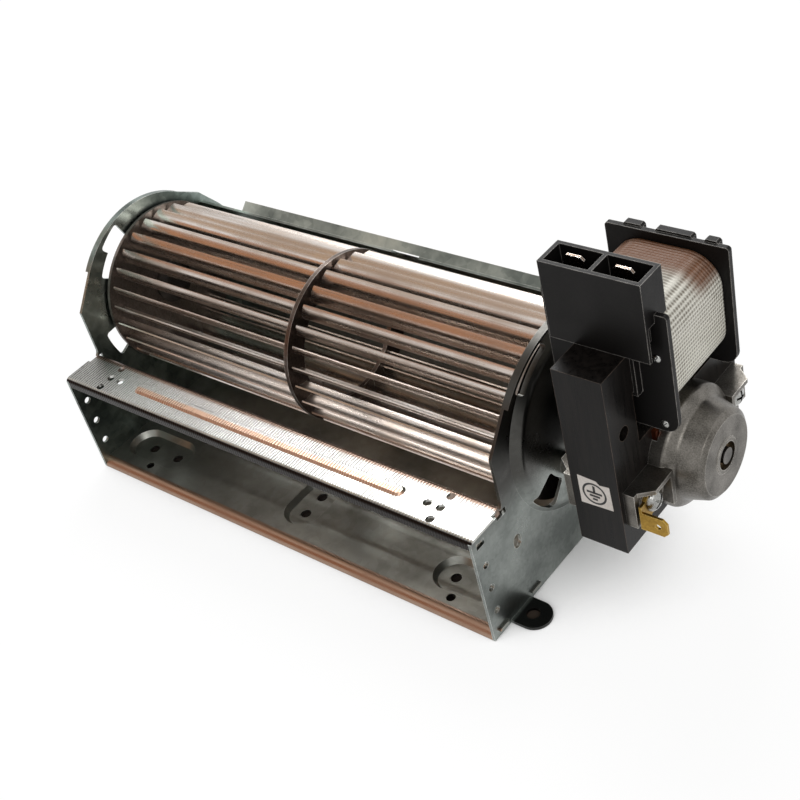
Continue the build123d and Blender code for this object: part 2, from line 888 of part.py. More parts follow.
def earth_tab():
    """Brass blade folded from a washer plate under the front bracket screw."""
    face = stack_right + ear_thickness + boss_rise
    y = -screw_reach
    plate_x = (face, face + tab_sheet)
    edge = y - 6.2
    low = -earth_tab_drop
    plate = rod(4.2, *plate_x, y)
    plate += block(plate_x, (edge, y), (-4.2, 2.0))
    plate += block(plate_x, (edge, edge + 4.6), (low, low + tab_width))
    plate -= rod(screw_radius + joint_clearance, *plate_x, y)
    blade = block((face, face + earth_tab_length), (edge, edge + tab_sheet), (low, low + tab_width))
    tips = blade.edges().filter_by(Axis.Y).group_by(Axis.X)[-1]
    blade = chamfer(tips, 1.4)
    hole = Cylinder(0.9, 4, rotation=(90, 0, 0))
    blade -= Pos(face + earth_tab_length - 3.0, edge, axis_height + low + tab_width / 2) * hole
    return plate + blade


def lying(y):
    """Plane square to Y, with its own x along X and its own y along Z."""
    return Plane(origin=(0, y, 0), x_dir=(1, 0, 0), z_dir=(0, -1, 0))


def bobbin():
    """Moulded coil former: tube, two flanges and their lips."""
    tube_x = stack_thickness / 2 + core_clearance + bobbin_wall
    tube_z = (core_bottom - core_clearance - bobbin_wall, core_rise + core_clearance + bobbin_wall)
    reach = limb_inner - 0.5
    body = block((motor_middle - tube_x, motor_middle + tube_x), (-reach, reach), tube_z)
    for side in (-1, 1):
        near = side * coil_half_length
        far = side * (coil_half_length + flange_sheet)
        flange = block(
            (motor_middle - flange_half_width, motor_middle + flange_half_width),
            (min(near, far), max(near, far)),
            (flange_bottom, flange_top),
        )
        low = flange.edges().filter_by(Axis.Y).group_by(Axis.Z)[0]
        flange = fillet(low, 4.5)
        high = flange.edges().filter_by(Axis.Y).group_by(Axis.Z)[-1]
        body += fillet(high, 1.0)
    seat_half = plug_half_width + joint_clearance
    seat_x = (motor_middle - seat_half, motor_middle + seat_half)
    seat_y = (-coil_half_length - flange_sheet - 1, -coil_half_length)
    body -= block(seat_x, seat_y, (plug_bottom, flange_top + 1))
    lip_y = (coil_half_length + flange_sheet - 0.6, coil_half_length + flange_sheet + 1.6)
    for start, end in ((-13.7, -7.6), (-3.6, 7.9), (11.3, 15.6)):
        hook = block((motor_middle + start, motor_middle + end), lip_y, (flange_top - 2.4, flange_top + 0.7))
        top_edges = hook.edges().filter_by(Axis.Y).group_by(Axis.Z)[-1]
        body += chamfer(top_edges, 0.6)
    hollow_x = stack_thickness / 2 + core_clearance
    hollow_y = (-stack_half_width, stack_half_width)
    hollow_z = (core_bottom - core_clearance, core_rise + core_clearance)
    body -= block((motor_middle - hollow_x, motor_middle + hollow_x), hollow_y, hollow_z)
    return body


def coil_outline(growth):
    """Rounded X-Z outline of the winding, grown by the tape."""
    width = 2 * (coil_half_width + growth)
    height = coil_top - coil_bottom + 2 * growth
    middle = axis_height + (coil_top + coil_bottom) / 2
    return Pos(motor_middle, middle) * RectangleRounded(width, height, coil_corner + growth)


def coil_winding():
    """Copper winding between the flanges."""
    wound = extrude(lying(coil_half_length) * coil_outline(0.0), 2 * coil_half_length)
    tube_x = stack_thickness / 2 + core_clearance + bobbin_wall
    tube_z = (core_bottom - core_clearance - bobbin_wall, core_rise + core_clearance + bobbin_wall)
    return wound - block((motor_middle - tube_x, motor_middle + tube_x), (-20, 20), tube_z)


def coil_tape():
    """Woven tape round the winding."""
    half = coil_half_length - 0.3
    band = extrude(lying(half) * coil_outline(tape_thickness), 2 * half)
    return band - extrude(lying(half) * coil_outline(0.0), 2 * half)


def plug_cells():
    """The two cells (start, end) of the terminal housing, along X."""
    start = motor_middle - plug_half_width + plug_wall
    end = motor_middle + plug_half_width - plug_wall
    middle = motor_middle
    return ((start, middle - plug_wall / 2), (middle + plug_wall / 2, end))


def terminal_housing():
    """Moulded plug housing with an apron that stands on the core."""
    left = motor_middle - plug_half_width
    right = motor_middle + plug_half_width
    rear = plug_front + plug_depth
    body = block((left, right), (plug_front, rear), (plug_bottom, plug_top))
    for index, (start, end) in enumerate(plug_cells()):
        cell_y = (plug_front + plug_wall, rear - plug_wall)
        body -= block((start, end), cell_y, (plug_bottom + plug_floor, plug_top + 1))
        middle = terminal_middle(index)
        half_width = tab_width / 2 + joint_clearance
        half_sheet = tab_sheet / 2 + joint_clearance
        slot_y = (terminal_row() - half_sheet, terminal_row() + half_sheet)
        slot_z = (plug_bottom - 1, plug_bottom + plug_floor + 1)
        body -= block((middle - half_width, middle + half_width), slot_y, slot_z)
    apron_rear = -coil_half_length - flange_sheet
    skin = (plug_front, plug_front + plug_wall - joint_clearance)
    apron = block((left, right), skin, (core_rise, plug_bottom))
    apron += block((left + 1.5, right - 1.5), (plug_front, apron_rear), (core_rise + 4.5, plug_bottom))
    return body + apron


def terminal_row():
    """Place along Y of the two terminals."""
    return plug_front + plug_depth / 2 + terminal_set_back


def terminal_middle(index):
    """Place along X of a terminal, nearer one side of its cell to leave room for the socket's lock."""
    start, end = plug_cells()[index]
    return (start + end) / 2 + terminal_offset


def terminal(index):
    """Flat tab terminal in one cell of the plug housing."""
    middle = terminal_middle(index)
    y = terminal_row()
    top = plug_top - tab_below_rim
    foot = plug_bottom
    tab_x = (middle - tab_width / 2, middle + tab_width / 2)
    tab = block(tab_x, (y - tab_sheet / 2, y + tab_sheet / 2), (foot, top))
    tips = tab.edges().filter_by(Axis.Y).group_by(Axis.Z)[-1]
    return chamfer(tips, 1.0)


def coil_pins():
    """Bright pins in the flanges beside the coil."""
    pins = []
    for side in (-1, 1):
        face = side * (coil_half_length + flange_sheet)
        tip = face + side * 0.7
        for across_x in (-1, 1):
            for rise in (flange_bottom + 2.6, flange_bottom + 2.6 + pin_spacing):
                middle = motor_middle + across_x * (flange_half_width - 4.3)
                place = Pos(middle, (face + tip) / 2, axis_height + rise)
                pins.append(place * Cylinder(1.2, 0.7, rotation=(90, 0, 0)))
    return pins


def save(name, shape):
    """Writes one node as a STEP file."""
    solids = shape if isinstance(shape, list) else [shape]
    parts = [solid for item in solids for solid in item.solids()]
    placed = [Pos(0, -foot_middle, 0) * part for part in parts]
    model = placed[0] if len(placed) == 1 else Compound(children=placed)
    export_step(model, os.path.join("parts", name + ".step"))


def main():
    os.makedirs("parts", exist_ok=True)
    save("end_plate_idle", idle_plate())
    save("end_plate_motor", motor_plate())
    save("scroll_shell", scroll_shell())
    save("front_panel", front_panel())
    save("idle_grommet", grommet())
    save("idle_bush", idle_bush())
    save("impeller_idle_disc", idle_disc())
    save("impeller_drive_disc", drive_disc())
    save("impeller_middle_ring", middle_ring())
    save("idle_stub_shaft", idle_stub())
    save("drive_hub", drive_hub())
    for number, blade in enumerate(impeller_blades(), start=1):
        save(f"impeller_blade_{number:02d}", blade)
    save("motor_shaft", motor_shaft())
    save("rotor", rotor())
    save("thrust_washers", thrust_washers())
    save("lamination_stack", lamination_stack())
    save("shading_ring_front", shading_ring(-1))
    save("shading_ring_rear", shading_ring(1))
    save("bearing_bracket_inner", inner_bracket())
    save("bearing_bracket_outer", bearing_bracket(1))
    save("motor_bearing_inner", motor_bearing(-1))
    save("motor_bearing_outer", motor_bearing(1))
    save("bracket_screws", bracket_screws())
    save("motor_mount_screws", mount_screws())
    save("earth_tab", earth_tab())
    save("coil_bobbin", bobbin())
    save("coil_winding", coil_winding())
    save("coil_tape", coil_tape())
    save("terminal_housing", terminal_housing())
    save("terminal_left", terminal(0))
    save("terminal_right", terminal(1))
    save("coil_pins", coil_pins())


main()
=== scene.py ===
"""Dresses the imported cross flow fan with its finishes, small pieces, light and camera."""
import logging
import math
from dataclasses import dataclass, field
from enum import Enum
from typing import Any

import bmesh
import bpy
from mathutils import Matrix, Vector


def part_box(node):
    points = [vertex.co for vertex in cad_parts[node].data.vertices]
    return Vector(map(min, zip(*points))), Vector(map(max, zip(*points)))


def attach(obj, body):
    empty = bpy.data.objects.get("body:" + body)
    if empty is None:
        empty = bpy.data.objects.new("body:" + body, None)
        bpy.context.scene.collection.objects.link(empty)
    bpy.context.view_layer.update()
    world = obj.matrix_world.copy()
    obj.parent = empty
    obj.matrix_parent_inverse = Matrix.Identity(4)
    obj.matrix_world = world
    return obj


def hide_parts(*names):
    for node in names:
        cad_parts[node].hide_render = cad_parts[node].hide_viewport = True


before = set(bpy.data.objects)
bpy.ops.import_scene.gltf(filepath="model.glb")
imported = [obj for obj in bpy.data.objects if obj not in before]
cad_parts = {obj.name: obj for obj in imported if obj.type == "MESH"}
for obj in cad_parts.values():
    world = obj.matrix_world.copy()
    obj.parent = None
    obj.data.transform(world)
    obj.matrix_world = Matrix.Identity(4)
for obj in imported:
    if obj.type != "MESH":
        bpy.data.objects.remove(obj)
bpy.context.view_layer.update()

LOG = logging.getLogger("cross_flow_fan")
MM = 0.001
OBJECT_MIDDLE = (0.0, 0.02, 0.06)

Tree = bpy.types.NodeTree
Node = bpy.types.Node
Socket = bpy.types.NodeSocket
Point = tuple[float, float, float]


class Body(Enum):
    """Rigid bodies of the fan."""

    HOUSING = "housing"
    IMPELLER = "impeller"


class Grain(Enum):
    """How a rolled surface is drawn out, as scale factors of its streaks."""

    ALONG_X = (0.02, 1.0, 1.0)
    NONE = (1.0, 1.0, 1.0)


def linear(colour: str) -> tuple[float, float, float, float]:
    """Turns an sRGB hex colour into a linear one.

    Args:
        colour: Six hex digits after a hash sign.

    Returns:
        Linear red, green, blue and an alpha of 1.
    """
    parts = [int(colour[k:k + 2], 16) / 255 for k in (1, 3, 5)]
    values = [p / 12.92 if p <= 0.04045 else ((p + 0.055) / 1.055) ** 2.4 for p in parts]
    return (values[0], values[1], values[2], 1.0)


def add(tree: Tree, kind: str, inputs: dict[str | int, Any] | None = None, **settings: Any) -> Node:
    """Adds one node with its settings and links.

    Args:
        tree: Node tree that takes the node.
        kind: Node type name.
        inputs: Value or output socket for each input, by name or number.
        **settings: Properties of the node itself.

    Returns:
        The new node.
    """
    node = tree.nodes.new(kind)
    for name, value in settings.items():
        setattr(node, name, value)
    for key, value in (inputs or {}).items():
        if isinstance(value, Socket):
            tree.links.new(value, node.inputs[key])
        else:
            node.inputs[key].default_value = value
    return node


def blank_material(name: str) -> bpy.types.Material:
    """Makes a material whose node tree is empty.

    Args:
        name: Its name.

    Returns:
        The material.
    """
    material = bpy.data.materials.new(name)
    material.use_nodes = True
    material.node_tree.nodes.clear()
    return material


@dataclass(frozen=True)
class Zone:
    """A part of a surface with a set tone, used for real stains and for painted shade, shadow and reflection.

    Each span is an axis number, a plane where the tone ends and a plane where it is full, in
    millimetres. The tone fades from one plane to the other.
    """

    colour: str
    strength: float
    spans: tuple[tuple[int, float, float], ...]

    def tint(self, tree: Tree, place: Socket, colour: Any) -> Socket:
        """Mixes the zone's tone into a colour.

        Args:
            tree: The material's node tree.
            place: Object coordinates in metres.
            colour: Colour outside the zone, as a socket or a linear colour.

        Returns:
            The colour with the zone in it.
        """
        split = add(tree, "ShaderNodeSeparateXYZ", {"Vector": place})
        share: Any = self.strength
        for axis, outside, inside in self.spans:
            ramp = add(tree, "ShaderNodeMapRange", {
                "Value": split.outputs[axis], "From Min": outside * MM, "From Max": inside * MM},
                interpolation_type="SMOOTHSTEP")
            faded = add(tree, "ShaderNodeMath", {0: ramp.outputs[0], 1: share}, operation="MULTIPLY")
            share = faded.outputs[0]
        mixed = add(tree, "ShaderNodeMix", {0: share, 6: colour, 7: linear(self.colour)}, data_type="RGBA")
        return mixed.outputs[2]


@dataclass(frozen=True)
class Finish:
    """A surface finish: what it is made of and how it looks.

    The edge colour, which is partly rubbed wear and partly a painted highlight, shows where a soft bevel of
    radius wear turns the surface. It starts at the first cosine of wear_turn and is full at the second, and
    patches of size wear_patch make it uneven.
    depth and relief are the height and the strength of the bump. rough_change is added to the roughness.
    """

    name: str
    colour: str
    metallic: float = 0.0
    roughness: float = 0.5
    specular: float = 0.5
    edge_wear_and_highlight: str = ""
    wear: float = 0.3 * MM
    wear_turn: tuple[float, float] = (0.99, 0.86)
    wear_patch: float = 2.5 * MM
    wear_level: tuple[float, float] = (0.3, 0.6)
    wear_least: float = 0.35
    bevel_samples: int = 4
    depth: float = 0.1 * MM
    relief: float = 0.0
    rough_change: tuple[float, float] = (0.0, 0.0)
    zones: tuple[Zone, ...] = ()

    def build(self) -> bpy.types.Material:
        """Makes the material.

        Returns:
            The node material.
        """
        material = blank_material(self.name)
        tree = material.node_tree
        shader = add(tree, "ShaderNodeBsdfPrincipled", {
            "Base Color": linear(self.colour), "Metallic": self.metallic, "Roughness": self.roughness,
            "Specular IOR Level": self.specular})
        add(tree, "ShaderNodeOutputMaterial", {"Surface": shader.outputs[0]})
        place = add(tree, "ShaderNodeTexCoord").outputs["Object"]
        self.pattern(tree, shader, place)
        self.finish_colour(tree, shader, place)
        return material

    def finish_colour(self, tree: Tree, shader: Node, place: Socket) -> None:
        """Adds the edge colour, partly rubbed wear and partly a painted highlight, along sharp edges, then
        the zones.

        Args:
            tree: The material's node tree.
            shader: Its principled shader.
            place: Object coordinates in metres.
        """
        if self.edge_wear_and_highlight:
            self.paint_edge_wear_and_highlight(tree, shader, place)
        base = shader.inputs["Base Color"]
        for zone in self.zones:
            tree.links.new(zone.tint(tree, place, base.links[0].from_socket), base)

    def paint_edge_wear_and_highlight(self, tree: Tree, shader: Node, place: Socket) -> None:
        """Mixes the edge colour in where a soft bevel would turn the surface: partly rubbed wear and partly a
        painted highlight.

        Args:
            tree: The material's node tree.
            shader: Its principled shader.
            place: Object coordinates in metres.
        """
        base = shader.inputs["Base Color"]
        soft = add(tree, "ShaderNodeBevel", {"Radius": self.wear}, samples=self.bevel_samples)
        hard = add(tree, "ShaderNodeNewGeometry")
        turned = add(tree, "ShaderNodeVectorMath", {
            0: soft.outputs[0], 1: hard.outputs["Normal"]}, operation="DOT_PRODUCT")
        patches = add(tree, "ShaderNodeTexNoise", {
            "Vector": place, "Scale": 1 / self.wear_patch, "Detail": 3.0})
        edge = add(tree, "ShaderNodeMapRange", {
            "Value": turned.outputs["Value"], "From Min": self.wear_turn[0], "From Max": self.wear_turn[1],
            "To Min": 0.0, "To Max": 1.0})
        rubbed = add(tree, "ShaderNodeMapRange", {
            "Value": patches.outputs[0], "From Min": self.wear_level[0], "From Max": self.wear_level[1],
            "To Min": self.wear_least, "To Max": 1.0})
        both = add(tree, "ShaderNodeMath", {0: edge.outputs[0], 1: rubbed.outputs[0]}, operation="MULTIPLY")
        mixed = add(tree, "ShaderNodeMix", {
            0: both.outputs[0], 6: base.links[0].from_socket, 7: linear(self.edge_wear_and_highlight)}, data_type="RGBA")
        tree.links.new(mixed.outputs[2], base)

    def pattern(self, tree: Tree, shader: Node, place: Socket) -> None:
        """Adds the finish's own variation to the shader.

        Args:
            tree: The material's node tree.
            shader: Its principled shader.
            place: Object coordinates in metres.
        """

    def surface(self, tree: Tree, shader: Node, tones: tuple[str, str], level: Socket,
                dull: Socket | None, height: Socket) -> None:
        """Gives the shader its two mixed tones, its roughness and its relief.

        Args:
            tree: The material's node tree.
            shader: Its principled shader.
            tones: Colours at a level of 0 and of 1.
            level: Share of the second colour.
            dull: What the roughness follows, or None where it is even.
            height: Height of the relief.
        """
        colour = add(tree, "ShaderNodeMix", {
            0: level, 6: linear(tones[0]), 7: linear(tones[1])}, data_type="RGBA")
        tree.links.new(colour.outputs[2], shader.inputs["Base Color"])
        if dull:
            rough = add(tree, "ShaderNodeMapRange", {
                "Value": dull, "To Min": self.roughness + self.rough_change[0],
                "To Max": self.roughness + self.rough_change[1]})
            tree.links.new(rough.outputs[0], shader.inputs["Roughness"])
        bump = add(tree, "ShaderNodeBump", {
            "Height": height, "Strength": self.relief, "Distance": self.depth})
        tree.links.new(bump.outputs[0], shader.inputs["Normal"])


@dataclass(frozen=True)
class Galvanised(Finish):
    """Hot-dip galvanised sheet: soft zinc crystals, grey clouds and, where it was rubbed, short lines.

    The rubbed lines and the grit are drawn coarser than real ones, so that they show.
    """

    dark: str = "#5c605d"
    crystal: float = 2.6 * MM
    crystal_share: float = 0.22
    cloud: float = 22 * MM
    cloud_level: tuple[float, float] = (0.34, 0.66)
    line: float = 1.1 * MM
    sway: float = 3 * MM
    swing: float = 7.0
    streak: float = 0.0
    grit: float = 0.7 * MM
    depth: float = 0.1 * MM
    relief: float = 0.04
    rough_change: tuple[float, float] = (0.1, -0.05)

    def pattern(self, tree: Tree, shader: Node, place: Socket) -> None:
        """Adds crystals, clouds and the rubbed lines, which lie across X.

        Args:
            tree: The material's node tree.
            shader: Its principled shader.
            place: Object coordinates in metres.
        """
        crystals = add(tree, "ShaderNodeTexVoronoi", {"Vector": place, "Scale": 1 / self.crystal})
        tone = add(tree, "ShaderNodeSeparateColor", {"Color": crystals.outputs["Color"]}).outputs[0]
        clouds = add(tree, "ShaderNodeTexNoise", {
            "Vector": place, "Scale": 1 / self.cloud, "Detail": 4.0, "Roughness": 0.55}).outputs[0]
        sway = add(tree, "ShaderNodeTexNoise", {
            "Vector": place, "Scale": 1 / self.sway, "Detail": 3.0}).outputs[0]
        swing = add(tree, "ShaderNodeMath", {0: sway, 1: self.swing}, operation="MULTIPLY").outputs[0]
        along = add(tree, "ShaderNodeSeparateXYZ", {"Vector": place}).outputs[0]
        turn = add(tree, "ShaderNodeMath", {
            0: along, 1: 2 * math.pi / self.line, 2: swing}, operation="MULTIPLY_ADD").outputs[0]
        wave = add(tree, "ShaderNodeMath", {0: turn}, operation="SINE").outputs[0]
        streaks = add(tree, "ShaderNodeMath", {0: wave, 1: sway}, operation="MULTIPLY").outputs[0]
        clear = add(tree, "ShaderNodeMapRange", {
            "Value": clouds, "From Min": self.cloud_level[0], "From Max": self.cloud_level[1],
            "To Min": 0.0, "To Max": 1.0}).outputs[0]
        cells = add(tree, "ShaderNodeMath", {
            0: tone, 1: self.crystal_share, 2: clear}, operation="MULTIPLY_ADD").outputs[0]
        lines = add(tree, "ShaderNodeMath", {
            0: streaks, 1: self.streak, 2: cells}, operation="MULTIPLY_ADD").outputs[0]
        level = add(tree, "ShaderNodeMath", {
            0: lines, 1: self.crystal_share / 2}, operation="SUBTRACT", use_clamp=True).outputs[0]
        grit = add(tree, "ShaderNodeTexNoise", {
            "Vector": place, "Scale": 1 / self.grit, "Detail": 2.0}).outputs[0]
        relief = add(tree, "ShaderNodeMath", {
            0: streaks, 1: self.streak * 2, 2: grit}, operation="MULTIPLY_ADD").outputs[0]
        self.surface(tree, shader, (self.dark, self.colour), level, level, relief)


@dataclass(frozen=True)
class RolledStrip(Finish):
    """Bright rolled aluminium strip: fine lines along the rolling direction, dust and dull warm patches."""

    dark: str = "#8c7f76"
    grain: Grain = Grain.ALONG_X
    line: float = 0.8 * MM
    line_share: float = 0.6
    patch: float = 26 * MM
    level: tuple[float, float] = (0.62, 0.98)
    depth: float = 0.06 * MM
    relief: float = 0.15
    rough_change: tuple[float, float] = (0.12, -0.04)

    def pattern(self, tree: Tree, shader: Node, place: Socket) -> None:
        """Adds rolling lines, drawn coarser than real ones so that they show, and dull patches.

        Args:
            tree: The material's node tree.
            shader: Its principled shader.
            place: Object coordinates in metres.
        """
        stretched = add(tree, "ShaderNodeMapping", {"Vector": place, "Scale": self.grain.value})
        lines = add(tree, "ShaderNodeTexNoise", {
            "Vector": stretched.outputs[0], "Scale": 1 / self.line, "Detail": 4.0,
            "Roughness": 0.65}).outputs[0]
        patches = add(tree, "ShaderNodeTexNoise", {
            "Vector": place, "Scale": 1 / self.patch, "Detail": 5.0, "Roughness": 0.6}).outputs[0]
        both = add(tree, "ShaderNodeMath", {
            0: lines, 1: self.line_share, 2: patches}, operation="MULTIPLY_ADD").outputs[0]
        level = add(tree, "ShaderNodeMapRange", {
            "Value": both, "From Min": self.level[0], "From Max": self.level[1]}).outputs[0]
        self.surface(tree, shader, (self.dark, self.colour), level, level, lines)


@dataclass(frozen=True)
class Grained(Finish):
    """A surface with an even fine grain, as moulding, casting, turning or printing leaves it."""

    second: str = "#000000"
    size: float = 0.6 * MM
    broad: float = 18.0
    depth: float = 0.05 * MM
    relief: float = 0.3
    spread: float = 0.3
    rough_change: tuple[float, float] = (0.08, -0.04)

    def pattern(self, tree: Tree, shader: Node, place: Socket) -> None:
        """Adds the grain to colour, roughness and relief.

        Args:
            tree: The material's node tree.
            shader: Its principled shader.
            place: Object coordinates in metres.
        """
        grains = add(tree, "ShaderNodeTexNoise", {
            "Vector": place, "Scale": 1 / self.size, "Detail": 4.0, "Roughness": 0.6}).outputs[0]
        broad = add(tree, "ShaderNodeTexNoise", {
            "Vector": place, "Scale": 1 / (self.broad * self.size), "Detail": 3.0}).outputs[0]
        both = add(tree, "ShaderNodeMath", {0: grains, 1: broad}, operation="ADD").outputs[0]
        level = add(tree, "ShaderNodeMapRange", {
            "Value": both, "From Min": 1.0 - self.spread, "From Max": 1.0 + self.spread}).outputs[0]
        self.surface(tree, shader, (self.second, self.colour), level, level, grains)


@dataclass(frozen=True)
class LacqueredStack(Finish):
    """Pile of stamped electrical sheets under black lacquer: the sheet edges show as fine lines."""

    sheet: float = 0.65 * MM
    sheet_share: float = 0.5
    thin: str = "#1f1b19"
    run: float = 1.6 * MM
    run_stretch: Point = (1.0, 1.0, 0.08)
    run_level: tuple[float, float] = (0.42, 0.72)
    depth: float = 0.04 * MM
    relief: float = 0.06
    rough_change: tuple[float, float] = (-0.08, 0.16)

    def pattern(self, tree: Tree, shader: Node, place: Socket) -> None:
        """Adds the lines of the sheet edges, and runs where the lacquer is thin.

        Args:
            tree: The material's node tree.
            shader: Its principled shader.
            place: Object coordinates in metres.
        """
        split = add(tree, "ShaderNodeSeparateXYZ", {"Vector": place})
        turn = add(tree, "ShaderNodeMath", {
            0: split.outputs[0], 1: 2 * math.pi / self.sheet}, operation="MULTIPLY").outputs[0]
        edges = add(tree, "ShaderNodeMath", {0: turn}, operation="SINE").outputs[0]
        stretched = add(tree, "ShaderNodeMapping", {"Vector": place, "Scale": self.run_stretch})
        runs = add(tree, "ShaderNodeTexNoise", {
            "Vector": stretched.outputs[0], "Scale": 1 / self.run, "Detail": 5.0,
            "Roughness": 0.65}).outputs[0]
        level = add(tree, "ShaderNodeMapRange", {
            "Value": runs, "From Min": self.run_level[0], "From Max": self.run_level[1]}).outputs[0]
        relief = add(tree, "ShaderNodeMath", {
            0: edges, 1: self.sheet_share, 2: runs}, operation="MULTIPLY_ADD").outputs[0]
        self.surface(tree, shader, (self.colour, self.thin), level, runs, relief)


@dataclass(frozen=True)
class GlassTape(Finish):
    """Woven glass-fibre tape, varnished: ribs round the coil crossed by finer threads."""

    shade: str = "#6f6658"
    rib: float = 1.25 * MM
    thread: float = 1.1 * MM
    thread_share: float = 0.6
    stain: float = 5 * MM
    stain_share: float = 1.6
    level: tuple[float, float] = (-0.9, 1.3)
    depth: float = 0.16 * MM
    relief: float = 1.0

    def pattern(self, tree: Tree, shader: Node, place: Socket) -> None:
        """Adds the weave; its pitch is drawn a little coarse so that it shows.

        Args:
            tree: The material's node tree.
            shader: Its principled shader.
            place: Object coordinates in metres.
        """
        split = add(tree, "ShaderNodeSeparateXYZ", {"Vector": place})
        across = add(tree, "ShaderNodeMath", {
            0: split.outputs[1], 1: 2 * math.pi / self.thread}, operation="MULTIPLY").outputs[0]
        along = add(tree, "ShaderNodeMath", {
            0: split.outputs[2], 1: 2 * math.pi / self.rib}, operation="MULTIPLY").outputs[0]
        ribs = add(tree, "ShaderNodeMath", {0: along}, operation="SINE").outputs[0]
        threads = add(tree, "ShaderNodeMath", {0: across}, operation="SINE").outputs[0]
        weave = add(tree, "ShaderNodeMath", {
            0: threads, 1: self.thread_share, 2: ribs}, operation="MULTIPLY_ADD").outputs[0]
        stain = add(tree, "ShaderNodeTexNoise", {
            "Vector": place, "Scale": 1 / self.stain, "Detail": 4.0}).outputs[0]
        mixed = add(tree, "ShaderNodeMath", {
            0: stain, 1: self.stain_share, 2: weave}, operation="MULTIPLY_ADD").outputs[0]
        level = add(tree, "ShaderNodeMapRange", {
            "Value": mixed, "From Min": self.level[0], "From Max": self.level[1]}).outputs[0]
        self.surface(tree, shader, (self.shade, self.colour), level, None, weave)


@dataclass(frozen=True)
class Glow(Finish):
    """A lit card of an even colour."""

    strength: float = 1.0

    def build(self) -> bpy.types.Material:
        """Makes the emitting material.

        Returns:
            The material.
        """
        material = blank_material(self.name)
        tree = material.node_tree
        glow = add(tree, "ShaderNodeEmission", {"Color": linear(self.colour), "Strength": self.strength})
        add(tree, "ShaderNodeOutputMaterial", {"Surface": glow.outputs[0]})
        return material


# Zinc on the idle plate: cool green-grey in large dark clouds, pale along its edges, partly rubbed wear and
# partly a painted highlight.
GALVANISED_IDLE = Galvanised(
    "galvanised_sheet_idle_plate", "#98a39d", 1.0, 0.3, dark="#4a524e", edge_wear_and_highlight="#e6e9e6")
# Zinc on the motor plate: finer crystals and less contrast. Its foot is painted dark as shade, its upper part
# is painted dark as shade and a dark reflection of the motor core, and its pale edges are partly rubbed wear
# and partly a painted highlight.
GALVANISED_DRIVE = Galvanised(
    "galvanised_sheet_motor_plate", "#9a9f9b", 1.0, 0.3, dark="#696e6b", crystal=1.1 * MM, edge_wear_and_highlight="#dfe2de",
    zones=(
        # Painted shade: the foot is dark.
        Zone("#2a2928", 0.9, ((2, 4.0, 1.2), (0, 92.3, 93.5))),
        # Painted shade and dark reflection of the motor core: the upper part is dark.
        Zone("#2f2a27", 0.85, ((2, 34.0, 50.0),)),
    ))
# Zinc on the scroll: pale and dull, darker and warmer towards the floor where the panel's shade is painted
# in, with a painted coppery reflection on the outlet lip and pale edges that are partly rubbed wear and
# partly a painted highlight.
GALVANISED_SHELL = Galvanised(
    "galvanised_sheet_shell", "#b3bbb5", 1.0, 0.34, dark="#6a716d", edge_wear_and_highlight="#cfd2cd",
    zones=(
        # Painted warm shade, darker towards the floor under the panel.
        Zone("#8a837a", 0.5, ((2, 52.0, 20.0),)),
        # Painted coppery reflection on the outlet lip.
        Zone("#a37f68", 0.75, ((2, 4.2, 3.6), (1, -10.4, -11.2))),
    ))
# Zinc on the outlet panel: it was rubbed across its length before bending, which leaves short cross
# lines. Its bead and its rear bend carry a painted warm reflection, its front return is painted nearly black
# as shade, and its pale edges are partly rubbed wear and partly a painted highlight.
GALVANISED_PANEL = Galvanised(
    "galvanised_sheet_panel", "#c6c6c2", 1.0, 0.28, dark="#8c8b87", streak=1.1, relief=0.12,
    edge_wear_and_highlight="#e4e2de",
    zones=(
        # Painted warm reflection on the bead.
        Zone("#b98a68", 0.65, ((2, 42.42, 42.5), (1, -5.2, -6.0), (1, -11.5, -10.5))),
        # Painted brown reflection on the rear bend.
        Zone("#7d6251", 0.8, ((1, -0.6, 0.6),)),
        # Painted shade: the front return is nearly black.
        Zone("#1f1b19", 1.0, ((1, -13.0, -13.5),)),
    ))
# Rolled aluminium strip: its warm straw tone is a painted warm reflection, and its nearly white edges are
# partly rubbed wear and partly a painted highlight.
ROLLED_ALUMINIUM = RolledStrip(
    "rolled_aluminium_strip", "#d8d1cb", 1.0, 0.22, dark="#b3a498", relief=0.04,
    edge_wear_and_highlight="#f2eeea", wear=0.1 * MM)
# Stamped aluminium discs: dull brown-grey with no rolling direction, so that the blades stand out.
STAMPED_ALUMINIUM = RolledStrip(
    "stamped_aluminium_disc", "#8b847e", 1.0, 0.32, dark="#5c534d", grain=Grain.NONE)
# Stamped middle ring: darker than the discs, with bright edges that are partly bare cut metal and partly a
# painted highlight.
STAMPED_RING = RolledStrip(
    "stamped_aluminium_ring", "#766a63", 1.0, 0.3, dark="#3f3733", grain=Grain.NONE, edge_wear_and_highlight="#e0dcd7")
# Glass-filled polyester straight from the mould: near black and even, greyer along its rims, partly rubbed
# wear and partly a painted highlight.
MOULDED_PBT = Grained(
    "moulded_pbt_black", "#141211", 0.0, 0.4, 0.14, edge_wear_and_highlight="#a5a19c", wear=0.35 * MM,
    second="#0f0e0e", size=0.5 * MM)
# Dipped core: deep brown-black gloss with the sheet edges just showing.
# Its brown edge colour is partly rubbed lacquer and partly a painted highlight.
BLACK_LACQUER = LacqueredStack(
    "black_lacquered_core", "#0f0d0c", 0.0, 0.26, 0.12, edge_wear_and_highlight="#6a5c52", wear=0.25 * MM)
# Pressure die casting: satin skin with a fine speckle, brighter along its edges, partly fettled and partly a
# painted highlight.
DIE_CAST = Grained(
    "die_cast_aluminium", "#7f7b75", 1.0, 0.34, edge_wear_and_highlight="#c9c5be", wear=0.45 * MM,
    second="#494641", size=0.4 * MM)
